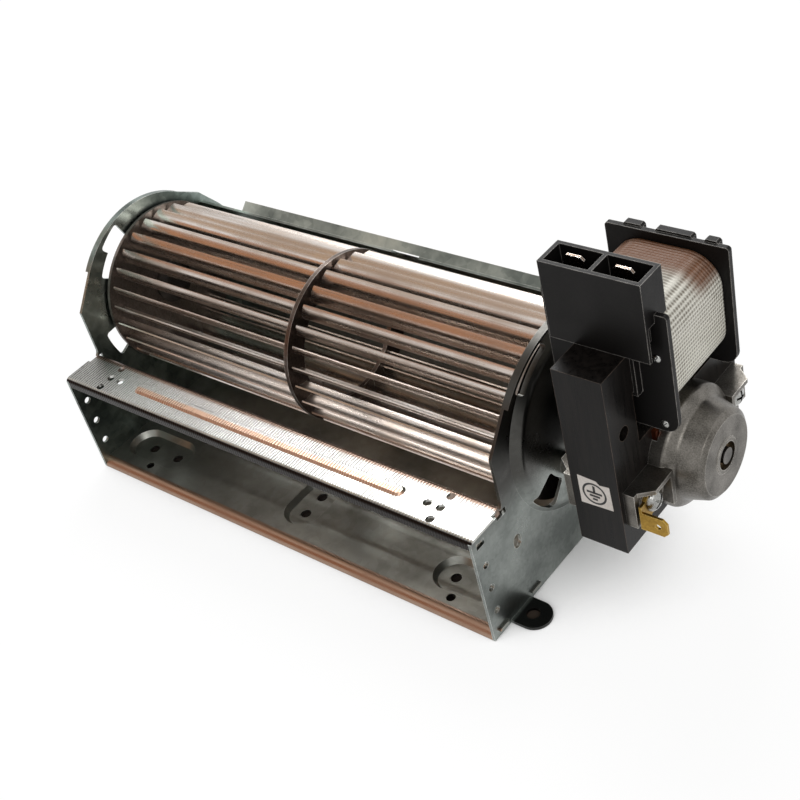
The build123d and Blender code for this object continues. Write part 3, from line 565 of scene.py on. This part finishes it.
# Zinc-plated screws and pins: small bright spots with nearly white edges, partly rubbed wear and partly a
# painted highlight.
ZINC_SCREW = Grained(
    "zinc_plated_screw", "#b9b9b6", 1.0, 0.24, edge_wear_and_highlight="#f0f0ee", wear=0.15 * MM,
    second="#7d7d7a", size=0.5 * MM)
# Turned motor shaft: plain mid-grey steel, darker than the bracket round it.
TURNED_STEEL = Grained("turned_steel_shaft", "#6b6864", 1.0, 0.35, second="#45423f", size=0.4 * MM)
# Stub shaft, dulled by age: brown-grey with a soft shine.
DULL_STEEL = Grained("dulled_steel_stub", "#5b5653", 1.0, 0.45, second="#37332f", size=0.4 * MM)
# Ground rotor: dark even iron.
GROUND_IRON = Grained("ground_rotor_iron", "#5b5a59", 1.0, 0.4, second="#3b3a39")
# Stamped brass: yellow, the strongest colour on the fan, and bright at its edges, partly rubbed wear and
# partly a painted highlight.
STAMPED_BRASS = Grained(
    "stamped_brass", "#a98638", 1.0, 0.3, edge_wear_and_highlight="#e2c67c", second="#7a5e20", size=0.8 * MM)
# Tinned brass tabs: brownish faces with nearly white edges, partly rubbed tin and partly a painted highlight.
TINNED_BRASS = Grained(
    "tinned_brass_tab", "#8d7b6c", 1.0, 0.24, edge_wear_and_highlight="#fbfaf6", second="#4f4038", size=0.8 * MM)
# Enamelled copper wire and bare shading rings: red-brown metal.
BARE_COPPER = Grained("enamelled_copper", "#8d4a2c", 1.0, 0.35, second="#6d3620", size=0.4 * MM)
# Oil-filled sintered bronze: dull brown. The pack has a material of this name, and Assembly.material
# finds that one first, so the bushes wear the pack's plain bronze.
OILED_BRONZE = Grained("sintered_bronze", "#6d5a45", 1.0, 0.5, second="#453a2e", size=0.3 * MM)
# Moulded rubber hub and bearing ring: matt black.
MOULDED_RUBBER = Grained("moulded_rubber", "#1a1a1a", 0.0, 0.7, second="#101010")
# Moulded nylon washers: off-white with a faint mottle.
MOULDED_NYLON = Grained("moulded_nylon", "#d8d4c8", 0.0, 0.5, second="#c4c0b2")
# Varnished glass-fibre tape: off-white ribs, brown where the varnish pooled against the rear flange.
WOVEN_TAPE = GlassTape(
    "woven_glass_tape", "#e6e3d8", 0.0, 0.45,
    zones=(
        Zone("#6b4022", 0.92, ((1, 43.0, 50.0), (2, 98.0, 102.5))),
    ))
# Printed paper: a pale, slightly mottled patch on the black core, and the black ink on it.
PRINTED_LABEL = Grained("printed_paper_label", "#d9d2cc", 0.0, 0.55, second="#c2bab3", size=0.8 * MM)
LABEL_INK = Grained("black_label_ink", "#1c1a1a", 0.0, 0.5, second="#141313", size=0.5 * MM)


class Recess(Enum):
    """Driver recess in a fastener's head, as its arms' turns in degrees about the head's axis."""

    CROSS = (0.0, 90.0)
    SLOT = (35.0,)


@dataclass(frozen=True)
class FastenerRow:
    """Like fasteners set by Geometry Nodes: domed heads with a driver recess, and a shank under each.

    Places and sizes are in millimetres and turns in degrees. The arm's reach and width, and the size
    of the block that cuts the dome flat, are shares of the head's radius.
    """

    name: str
    places: tuple[Point, ...]
    facing: tuple[Point, ...]
    recess: Recess
    radius: float
    height: float
    arm_reach: float
    depth: float
    shank_radius: float
    shank_length: float
    arm_width: float = 0.24
    cutter: float = 3.0
    segments: int = 32
    rings: int = 16
    shank_sides: int = 24
    seed: int = 7

    def points(self) -> bpy.types.Object:
        """Makes a mesh of loose points that each carry the turn of their fastener.

        Returns:
            The points' object.
        """
        mesh = bpy.data.meshes.new(self.name)
        mesh.from_pydata([[value * MM for value in place] for place in self.places], [], [])
        turns = mesh.attributes.new("turn", "FLOAT_VECTOR", "POINT")
        for item, facing in zip(turns.data, self.facing):
            item.vector = [math.radians(value) for value in facing]
        obj = bpy.data.objects.new(self.name, mesh)
        bpy.context.scene.collection.objects.link(obj)
        return obj

    def head(self, tree: Tree, given: Any) -> Socket:
        """Adds one domed head with its recess.

        Args:
            tree: The node group.
            given: Outputs of the group's input node.

        Returns:
            The head's geometry.
        """
        flat = add(tree, "ShaderNodeMath", {
            0: given["Head height"], 1: given["Head radius"]}, operation="DIVIDE").outputs[0]
        squash = add(tree, "ShaderNodeCombineXYZ", {0: 1.0, 1: 1.0, 2: flat}).outputs[0]
        ball = add(tree, "GeometryNodeMeshUVSphere", {
            "Segments": self.segments, "Rings": self.rings, "Radius": given["Head radius"]}).outputs[0]
        dome = add(tree, "GeometryNodeTransform", {"Geometry": ball, "Scale": squash}).outputs[0]
        wide = add(tree, "ShaderNodeMath", {
            0: given["Head radius"], 1: self.cutter}, operation="MULTIPLY").outputs[0]
        low = add(tree, "ShaderNodeMath", {
            0: given["Head radius"], 1: -self.cutter / 2}, operation="MULTIPLY").outputs[0]
        sides = add(tree, "ShaderNodeCombineXYZ", {0: wide, 1: wide, 2: wide}).outputs[0]
        below = add(tree, "GeometryNodeMeshCube", {"Size": sides}).outputs[0]
        drop = add(tree, "ShaderNodeCombineXYZ", {2: low}).outputs[0]
        under = add(tree, "GeometryNodeTransform", {"Geometry": below, "Translation": drop}).outputs[0]
        cut = add(tree, "GeometryNodeMeshBoolean", {"Mesh 1": dome}, operation="DIFFERENCE", solver="EXACT")
        tree.links.new(under, cut.inputs["Mesh 2"])
        long = add(tree, "ShaderNodeMath", {
            0: given["Head radius"], 1: self.arm_reach}, operation="MULTIPLY").outputs[0]
        tall = add(tree, "ShaderNodeMath", {
            0: given["Recess depth"], 1: 2.0}, operation="MULTIPLY").outputs[0]
        reach = add(tree, "ShaderNodeCombineXYZ", {0: long, 1: given["Arm width"], 2: tall}).outputs[0]
        bar = add(tree, "GeometryNodeMeshCube", {"Size": reach}).outputs[0]
        lift = add(tree, "ShaderNodeCombineXYZ", {2: given["Head height"]}).outputs[0]
        for turn in self.recess.value:
            arm = add(tree, "GeometryNodeTransform", {
                "Geometry": bar, "Translation": lift, "Rotation": (0.0, 0.0, math.radians(turn))}).outputs[0]
            tree.links.new(arm, cut.inputs["Mesh 2"])
        return cut.outputs["Mesh"]

    def shank(self, tree: Tree, given: Any) -> Socket:
        """Adds the shank under one head.

        Args:
            tree: The node group.
            given: Outputs of the group's input node.

        Returns:
            The shank's geometry.
        """
        rod = add(tree, "GeometryNodeMeshCylinder", {
            "Vertices": self.shank_sides, "Radius": given["Shank radius"],
            "Depth": given["Shank length"]}).outputs[0]
        half = add(tree, "ShaderNodeMath", {
            0: given["Shank length"], 1: -0.5}, operation="MULTIPLY").outputs[0]
        drop = add(tree, "ShaderNodeCombineXYZ", {2: half}).outputs[0]
        return add(tree, "GeometryNodeTransform", {"Geometry": rod, "Translation": drop}).outputs[0]

    def roll(self, tree: Tree) -> Socket:
        """Adds the seeded turn of each fastener about its own axis, up to half a turn.

        Args:
            tree: The node group.

        Returns:
            The turn as a rotation.
        """
        draw = add(tree, "FunctionNodeRandomValue", {"Seed": self.seed}, data_type="FLOAT")
        limits = [socket for socket in draw.inputs if socket.type == "VALUE" and socket.enabled]
        limits[0].default_value, limits[1].default_value = 0.0, math.pi
        rolled = next(socket for socket in draw.outputs if socket.enabled)
        return add(tree, "ShaderNodeCombineXYZ", {2: rolled}).outputs[0]

    def tree(self, material: bpy.types.Material) -> Tree:
        """Builds the node tree: one fastener from named sizes, then one on each point.

        Args:
            material: Material of the fasteners.

        Returns:
            The node group.
        """
        tree = bpy.data.node_groups.new(self.name, "GeometryNodeTree")
        tree.interface.new_socket("Geometry", in_out="INPUT", socket_type="NodeSocketGeometry")
        for label in (
                "Head radius", "Head height", "Arm width", "Recess depth", "Shank radius", "Shank length"):
            tree.interface.new_socket(label, in_out="INPUT", socket_type="NodeSocketFloat")
        tree.interface.new_socket("Geometry", in_out="OUTPUT", socket_type="NodeSocketGeometry")
        given = add(tree, "NodeGroupInput").outputs
        head = self.head(tree, given)
        stem = self.shank(tree, given)
        whole = add(tree, "GeometryNodeJoinGeometry")
        tree.links.new(head, whole.inputs[0])
        tree.links.new(stem, whole.inputs[0])
        facing = add(tree, "GeometryNodeInputNamedAttribute", {"Name": "turn"}, data_type="FLOAT_VECTOR")
        spread = add(tree, "GeometryNodeInstanceOnPoints", {
            "Points": given["Geometry"], "Instance": whole.outputs[0],
            "Rotation": facing.outputs["Attribute"]}).outputs[0]
        turned = add(tree, "GeometryNodeRotateInstances", {
            "Instances": spread, "Rotation": self.roll(tree), "Local Space": True}).outputs[0]
        real = add(tree, "GeometryNodeRealizeInstances", {0: turned}).outputs[0]
        coated = add(tree, "GeometryNodeSetMaterial", {"Geometry": real, "Material": material}).outputs[0]
        add(tree, "NodeGroupOutput", {"Geometry": coated})
        return tree

    def mesh(self, material: bpy.types.Material) -> bpy.types.Mesh:
        """Runs the tree and keeps its result as a plain mesh.

        Args:
            material: Material of the fasteners.

        Returns:
            The finished mesh.
        """
        obj = self.points()
        tree = self.tree(material)
        modifier = obj.modifiers.new("fasteners", "NODES")
        modifier.node_group = tree
        sizes = {
            "Head radius": self.radius, "Head height": self.height,
            "Arm width": self.arm_width * self.radius, "Recess depth": self.depth,
            "Shank radius": self.shank_radius, "Shank length": self.shank_length}
        for item in tree.interface.items_tree:
            if item.name in sizes and item.in_out == "INPUT":
                modifier[item.identifier] = sizes[item.name] * MM
        evaluated = obj.evaluated_get(bpy.context.evaluated_depsgraph_get())
        mesh = bpy.data.meshes.new_from_object(evaluated)
        obj.modifiers.clear()
        bpy.data.objects.remove(obj)
        return mesh


@dataclass(frozen=True)
class EarthLabel:
    """Small paper label with the generic protective-earth sign on the front of the core.

    All of its sizes are in millimetres.
    """

    face: float = 9.6
    paper_thickness: float = 0.06
    ink_thickness: float = 0.015
    corners: tuple[tuple[float, float], ...] = (
        (115.6, 58.9), (121.6, 58.5), (122.6, 57.4), (125.8, 57.8), (126.1, 49.0), (115.6, 48.5))
    centre: tuple[float, float] = (120.5, 53.4)
    ring: tuple[float, float] = (3.3, 3.95)
    ring_steps: int = 40
    stroke: float = 0.8
    stem_top: float = 2.9
    bars: tuple[tuple[float, float], ...] = ((0.3, 2.5), (-0.9, 1.7), (-2.1, 0.8))

    def paper(self) -> bpy.types.Mesh:
        """Makes the sheet of the label.

        Returns:
            A thin closed mesh.
        """
        build = bmesh.new()
        self.plate(build, [Vector((x, 0, z)) for x, z in self.corners], self.face, self.paper_thickness)
        return self.keep(build, "earth_label_paper")

    def sign(self) -> bpy.types.Mesh:
        """Makes the printed ring, stem and three bars.

        Returns:
            A thin closed mesh.
        """
        build = bmesh.new()
        face = self.face - self.paper_thickness
        cx, cz = self.centre
        inner, outer = self.ring
        for k in range(self.ring_steps):
            start, end = [2 * math.pi * (k + j) / self.ring_steps for j in (0, 1)]
            quad = [(cx + r * math.sin(t), cz + r * math.cos(t)) for r, t in
                    ((inner, start), (inner, end), (outer, end), (outer, start))]
            self.plate(build, [Vector((x, 0, z)) for x, z in quad], face, self.ink_thickness)
        boxes = [(cx - self.stroke / 2, cx + self.stroke / 2, cz + self.bars[0][0], cz + self.stem_top)]
        boxes += [(cx - half, cx + half, cz + rise - self.stroke / 2, cz + rise + self.stroke / 2)
                  for rise, half in self.bars]
        for left, right, bottom, top in boxes:
            quad = [(left, bottom), (left, top), (right, top), (right, bottom)]
            self.plate(build, [Vector((x, 0, z)) for x, z in quad], face, self.ink_thickness)
        return self.keep(build, "earth_label_sign")

    def plate(self, build: bmesh.types.BMesh, outline: list[Vector], face: float, thickness: float) -> None:
        """Adds one flat plate that stands off the core towards the front.

        Args:
            build: Mesh under construction.
            outline: Its corners in millimetres.
            face: Place of its back along Y.
            thickness: Its thickness.
        """
        back = [build.verts.new((v.x * MM, face * MM, v.z * MM)) for v in outline]
        front = [build.verts.new((v.x * MM, (face - thickness) * MM, v.z * MM)) for v in outline]
        build.faces.new(front)
        build.faces.new(list(reversed(back)))
        count = len(outline)
        for k in range(count):
            build.faces.new((front[k], back[k], back[(k + 1) % count], front[(k + 1) % count]))

    def keep(self, build: bmesh.types.BMesh, name: str) -> bpy.types.Mesh:
        """Turns the finished work into a mesh with outward normals.

        Args:
            build: Mesh under construction.
            name: Name of the mesh.

        Returns:
            The mesh.
        """
        bmesh.ops.recalc_face_normals(build, faces=build.faces)
        mesh = bpy.data.meshes.new(name)
        build.to_mesh(mesh)
        build.free()
        return mesh


@dataclass
class Assembly:
    """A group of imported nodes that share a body, with the finish of each."""

    body: Body
    finishes: dict[str, Finish] = field(default_factory=dict)

    def material(self, finish: Finish) -> bpy.types.Material:
        """Gives a finish's material, made once for the whole scene.

        Args:
            finish: The finish to look up.

        Returns:
            Its material.
        """
        return bpy.data.materials.get(finish.name) or finish.build()

    def dress(self) -> None:
        """Puts each node's finish on its object; a name that ends in a star covers a family of nodes."""
        for name, finish in self.finishes.items():
            for node in sorted(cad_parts):
                if node == name or (name.endswith("*") and node.startswith(name[:-1])):
                    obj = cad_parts[node]
                    obj.data.materials.clear()
                    obj.data.materials.append(self.material(finish))
                    LOG.info("%s wears %s", node, finish.name)

    def add_mesh(self, name: str, mesh: bpy.types.Mesh, finish: Finish, slot: str) -> bpy.types.Object:
        """Adds a small piece that rides on this group's body.

        Args:
            name: Object name.
            mesh: Its mesh, in the frame's metres.
            finish: Its finish.
            slot: The record's material slot it takes its finish from.

        Returns:
            slot: Not used.
        """
        mesh.materials.clear()
        mesh.materials.append(self.material(finish))
        obj = bpy.data.objects.new(name, mesh)
        bpy.context.scene.collection.objects.link(obj)
        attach(obj, self.body.value)
        LOG.info("%s made with %d faces", name, len(mesh.polygons))
        return obj


@dataclass
class Housing(Assembly):
    """Sheet-metal housing with its two end plates, scroll, front panel and idle bearing."""

    body: Body = Body.HOUSING
    finishes: dict[str, Finish] = field(default_factory=lambda: {
        "end_plate_idle": GALVANISED_IDLE,
        "end_plate_motor": GALVANISED_DRIVE,
        "scroll_shell": GALVANISED_SHELL,
        "front_panel": GALVANISED_PANEL,
        "idle_grommet": MOULDED_RUBBER,
        "idle_bush": OILED_BRONZE,
    })


@dataclass
class Impeller(Assembly):
    """Impeller with its blades, discs, middle ring, hub and shafts, and the rotor that turns it."""

    body: Body = Body.IMPELLER
    finishes: dict[str, Finish] = field(default_factory=lambda: {
        "impeller_blade_*": ROLLED_ALUMINIUM,
        "impeller_idle_disc": STAMPED_ALUMINIUM,
        "impeller_drive_disc": STAMPED_ALUMINIUM,
        "impeller_middle_ring": STAMPED_RING,
        "idle_stub_shaft": DULL_STEEL,
        "drive_hub": MOULDED_RUBBER,
        "motor_shaft": TURNED_STEEL,
        "rotor": GROUND_IRON,
        "thrust_washers": MOULDED_NYLON,
    })


@dataclass
class Motor(Assembly):
    """Shaded-pole motor: core, coil, brackets, terminals and earth tab. Sizes are in millimetres."""

    body: Body = Body.HOUSING
    finishes: dict[str, Finish] = field(default_factory=lambda: {
        "lamination_stack": BLACK_LACQUER,
        "shading_ring_*": BARE_COPPER,
        "bearing_bracket_*": DIE_CAST,
        "motor_bearing_*": OILED_BRONZE,
        "bracket_screws": ZINC_SCREW,
        "motor_mount_screws": ZINC_SCREW,
        "earth_tab": STAMPED_BRASS,
        "coil_bobbin": MOULDED_PBT,
        "coil_winding": BARE_COPPER,
        "coil_tape": WOVEN_TAPE,
        "terminal_housing": MOULDED_PBT,
        "terminal_left": TINNED_BRASS,
        "terminal_right": TINNED_BRASS,
        "coil_pins": ZINC_SCREW,
    })
    axis: tuple[float, float] = (42.0, 49.5)
    screw_side: float = 24.0
    screw_head: float = 3.5
    screw_rise: float = 2.3
    earth_tab_gauge: float = 0.8
    shank: float = 26.0
    pin_columns: tuple[float, float] = (106.1, 135.7)
    pin_rows: tuple[float, float] = (72.1, 94.5)
    pin_faces: tuple[float, float] = (25.2, 58.8)
    label: EarthLabel = EarthLabel()

    def screws(self) -> None:
        """Sets the two cross-recessed bracket screws; only the front one has the earth tab under it."""
        axis_y, axis_z = self.axis
        screw_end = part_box("bracket_screws")[1][0] / MM
        bracket_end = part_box("bearing_bracket_outer")[1][0] / MM
        LOG.info("screw heads end at %.1f of %.1f", screw_end, bracket_end)
        seat = screw_end - self.screw_rise
        places = ((seat, axis_y - self.screw_side, axis_z),
                  (seat - self.earth_tab_gauge, axis_y + self.screw_side, axis_z))
        row = FastenerRow(
            "bracket_screws_cross", places, ((0, 90, 0), (0, 90, 0)), Recess.CROSS, radius=self.screw_head,
            height=self.screw_rise, arm_reach=1.25, depth=1.5, shank_radius=2.0, shank_length=self.shank)
        self.stand_in(row, ZINC_SCREW, "zinc_screw", "bracket_screws")

    def pins(self) -> None:
        """Sets the slotted bright pins in both bobbin flanges."""
        places, facing = [], []
        for face, turn in zip(self.pin_faces, (90, -90)):
            for x in self.pin_columns:
                for z in self.pin_rows:
                    places.append((x, face, z))
                    facing.append((turn, 0, 0))
        row = FastenerRow(
            "coil_pins_slotted", tuple(places), tuple(facing), Recess.SLOT, radius=1.25, height=0.7,
            arm_reach=2.4, depth=0.45, shank_radius=0.9, shank_length=1.5)
        self.stand_in(row, ZINC_SCREW, "tinned_tab", "coil_pins")

    def stand_in(self, row: FastenerRow, finish: Finish, slot: str, node: str) -> None:
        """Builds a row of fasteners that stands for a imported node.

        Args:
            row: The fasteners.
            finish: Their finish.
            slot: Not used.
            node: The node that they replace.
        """
        obj = self.add_mesh(row.name, row.mesh(self.material(finish)), finish, slot)
        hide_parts(node)

    def sign(self) -> None:
        """Sticks the earth label on the core."""
        self.add_mesh("earth_label_paper", self.label.paper(), PRINTED_LABEL, "white_nylon")
        self.add_mesh("earth_label_sign", self.label.sign(), LABEL_INK, "black_plastic")

    def build(self) -> None:
        """Adds the motor's small pieces."""
        self.screws()
        self.pins()
        self.sign()


@dataclass(frozen=True)
class Card:
    """A flat card beside the object, which only polished surfaces see. Places are in metres."""

    name: str
    centre: Point
    aim: Point
    size: tuple[float, float]
    colour: str
    strength: float

    def place(self) -> bpy.types.Object:
        """Makes the card.

        Returns:
            The card's object.
        """
        mesh = bpy.data.meshes.new(self.name)
        build = bmesh.new()
        bmesh.ops.create_grid(build, x_segments=1, y_segments=1, size=0.5)
        turn = (Vector(self.aim) - Vector(self.centre)).to_track_quat("Z", "Y").to_matrix().to_4x4()
        scale = Matrix.Diagonal((self.size[0], self.size[1], 1, 1))
        build.transform(Matrix.Translation(self.centre) @ turn @ scale)
        build.to_mesh(mesh)
        build.free()
        mesh.materials.append(Glow(self.name, self.colour, strength=self.strength).build())
        obj = bpy.data.objects.new(self.name, mesh)
        bpy.context.scene.collection.objects.link(obj)
        obj.visible_camera = False
        obj.visible_diffuse = False
        obj.visible_shadow = False
        obj.visible_transmission = False
        return obj


@dataclass(frozen=True)
class Lamp:
    """A square soft lamp that points at the object. Places are in metres and power in watts."""

    name: str
    centre: Point
    size: float
    power: float
    aim: Point = (0.0, 0.0, 0.05)

    def hang(self) -> None:
        """Adds the lamp to the scene."""
        data = bpy.data.lights.new(self.name, "AREA")
        data.shape = "SQUARE"
        data.size = self.size
        data.energy = self.power
        obj = bpy.data.objects.new(self.name, data)
        obj.location = self.centre
        obj.rotation_mode = "QUATERNION"
        obj.rotation_quaternion = (Vector(self.aim) - Vector(self.centre)).to_track_quat("-Z", "Y")
        bpy.context.scene.collection.objects.link(obj)


@dataclass
class Studio:
    """Plain pale floor, soft lamps, cards and the camera at the photograph's angle."""

    eye: Point = (0.3003, -0.2106, 0.3222)
    right: Point = (0.7645, 0.6085, -0.2126)
    ahead: Point = (-0.5887, 0.5248, -0.6148)
    sensor: float = 36.0
    focal: float = 63.08
    clip: tuple[float, float] = (0.01, 20.0)
    sky: str = "#f2f2f0"
    sky_strength: float = 0.55
    floor_half: float = 3.0
    floor_drop: float = 0.0002
    floor_colour: str = "#fbfbfb"
    floor_glow: float = 1.05
    floor_white: float = 0.9
    shadow_reach: float = 0.07
    shadow_level: tuple[float, float] = (0.28, 0.6)
    shadow_samples: int = 12
    # Painted shadow: the floor is painted dark under the scroll and by the motor plate's foot, so that the
    # openings look deep.
    under: tuple[Zone, ...] = (
        Zone("#241f1c", 1.0, ((0, -91.0, -87.0), (0, 92.0, 89.0), (1, -14.0, -9.0), (1, 36.0, 26.0))),
        Zone("#3a322c", 1.0, ((0, 92.6, 93.6), (0, 100.4, 99.4), (1, -4.0, -3.0), (1, 4.0, 3.0))),
    )
    # Two warm cards give the bare metal its straw and copper tones, and a dark one shades it.
    cards: tuple[Card, ...] = (
        Card("table_card", (-0.55, -0.68, 0.26), OBJECT_MIDDLE, (0.8, 0.62), "#bd8a66", 1.0),
        Card("shelf_card", (-0.6, -0.17, 0.85), OBJECT_MIDDLE, (0.5, 0.5), "#c4a98e", 1.0),
        Card("dark_card", (-0.95, 0.35, 0.46), OBJECT_MIDDLE, (0.5, 0.5), "#4a4642", 0.7),
    )
    lamps: tuple[Lamp, ...] = (
        Lamp("window_lamp", (-0.42, 0.62, 1.0), 0.55, 9.0),
        Lamp("fill_lamp", (0.9, -0.5, 0.9), 0.8, 4.0),
    )

    def camera(self) -> None:
        """Sets up the camera."""
        data = bpy.data.cameras.new("camera")
        data.sensor_width = self.sensor
        data.lens = self.focal
        data.clip_start, data.clip_end = self.clip
        obj = bpy.data.objects.new("camera", data)
        bpy.context.scene.collection.objects.link(obj)
        ahead = Vector(self.ahead).normalized()
        right = Vector(self.right)
        right = (right - ahead * right.dot(ahead)).normalized()
        up = right.cross(ahead)
        rows = Matrix((right, up, -ahead)).transposed()
        obj.matrix_world = Matrix.Translation(self.eye) @ rows.to_4x4()
        bpy.context.scene.camera = obj

    def seen_directly(self, tree: Tree) -> Socket:
        """Gives 1 for rays from the camera and for those that polished or clear surfaces send.

        Args:
            tree: The node tree that asks.

        Returns:
            The value's socket.
        """
        ray = add(tree, "ShaderNodeLightPath")
        either = add(tree, "ShaderNodeMath", {
            0: ray.outputs["Is Camera Ray"], 1: ray.outputs["Is Glossy Ray"]}, operation="MAXIMUM").outputs[0]
        every = add(tree, "ShaderNodeMath", {
            0: either, 1: ray.outputs["Is Transmission Ray"]}, operation="MAXIMUM")
        return every.outputs[0]

    def world(self) -> None:
        """Sets an even soft sky; the camera and polished surfaces see it white."""
        world = bpy.data.worlds.new("sky")
        world.use_nodes = True
        tree = world.node_tree
        tree.nodes.clear()
        soft = add(tree, "ShaderNodeBackground", {"Color": linear(self.sky), "Strength": self.sky_strength})
        white = add(tree, "ShaderNodeBackground", {"Color": (1, 1, 1, 1), "Strength": 1.0})
        both = add(tree, "ShaderNodeMixShader", {
            0: self.seen_directly(tree), 1: soft.outputs[0], 2: white.outputs[0]})
        add(tree, "ShaderNodeOutputWorld", {"Surface": both.outputs[0]})
        bpy.context.scene.world = world

    def floor_material(self) -> bpy.types.Material:
        """Makes the floor's material: white where it is open to the sky, shaded near the object.

        Returns:
            The material.
        """
        material = blank_material("pale_floor")
        tree = material.node_tree
        place = add(tree, "ShaderNodeTexCoord").outputs["Object"]
        pale: Any = linear(self.floor_colour)
        # The painted shadows under the scroll and by the foot go into the floor's colour.
        for zone in self.under:
            pale = zone.tint(tree, place, pale)
        matt = add(tree, "ShaderNodeBsdfDiffuse", {"Color": pale})
        white = add(tree, "ShaderNodeEmission", {"Color": pale, "Strength": self.floor_glow})
        open_air = add(tree, "ShaderNodeAmbientOcclusion", {
            "Distance": self.shadow_reach}, samples=self.shadow_samples).outputs["AO"]
        clear = add(tree, "ShaderNodeMapRange", {
            "Value": open_air, "From Min": self.shadow_level[0], "From Max": self.shadow_level[1],
            "To Min": 0.0, "To Max": self.floor_white}).outputs[0]
        share = add(tree, "ShaderNodeMath", {
            0: self.seen_directly(tree), 1: clear}, operation="MULTIPLY").outputs[0]
        both = add(tree, "ShaderNodeMixShader", {0: share, 1: matt.outputs[0], 2: white.outputs[0]})
        add(tree, "ShaderNodeOutputMaterial", {"Surface": both.outputs[0]})
        return material

    def floor(self) -> None:
        """Lays the pale floor, which shows white but keeps a soft shadow."""
        mesh = bpy.data.meshes.new("floor")
        build = bmesh.new()
        bmesh.ops.create_grid(build, x_segments=1, y_segments=1, size=self.floor_half)
        build.transform(Matrix.Translation((0, 0, -self.floor_drop)))
        build.to_mesh(mesh)
        build.free()
        mesh.materials.append(self.floor_material())
        obj = bpy.data.objects.new("floor", mesh)
        bpy.context.scene.collection.objects.link(obj)

    def build(self) -> None:
        """Builds the whole studio."""
        bpy.context.scene.view_settings.view_transform = "Standard"
        self.camera()
        self.world()
        self.floor()
        for lamp in self.lamps:
            lamp.hang()
        for card in self.cards:
            card.place()


def main() -> None:
    """Builds the scene in order and reports each piece."""
    logging.basicConfig(level=logging.INFO, format="%(message)s")
    Studio().build()
    motor = Motor()
    for assembly in (Housing(), Impeller(), motor):
        assembly.dress()
    motor.build()


if __name__ == "__main__":
    main()
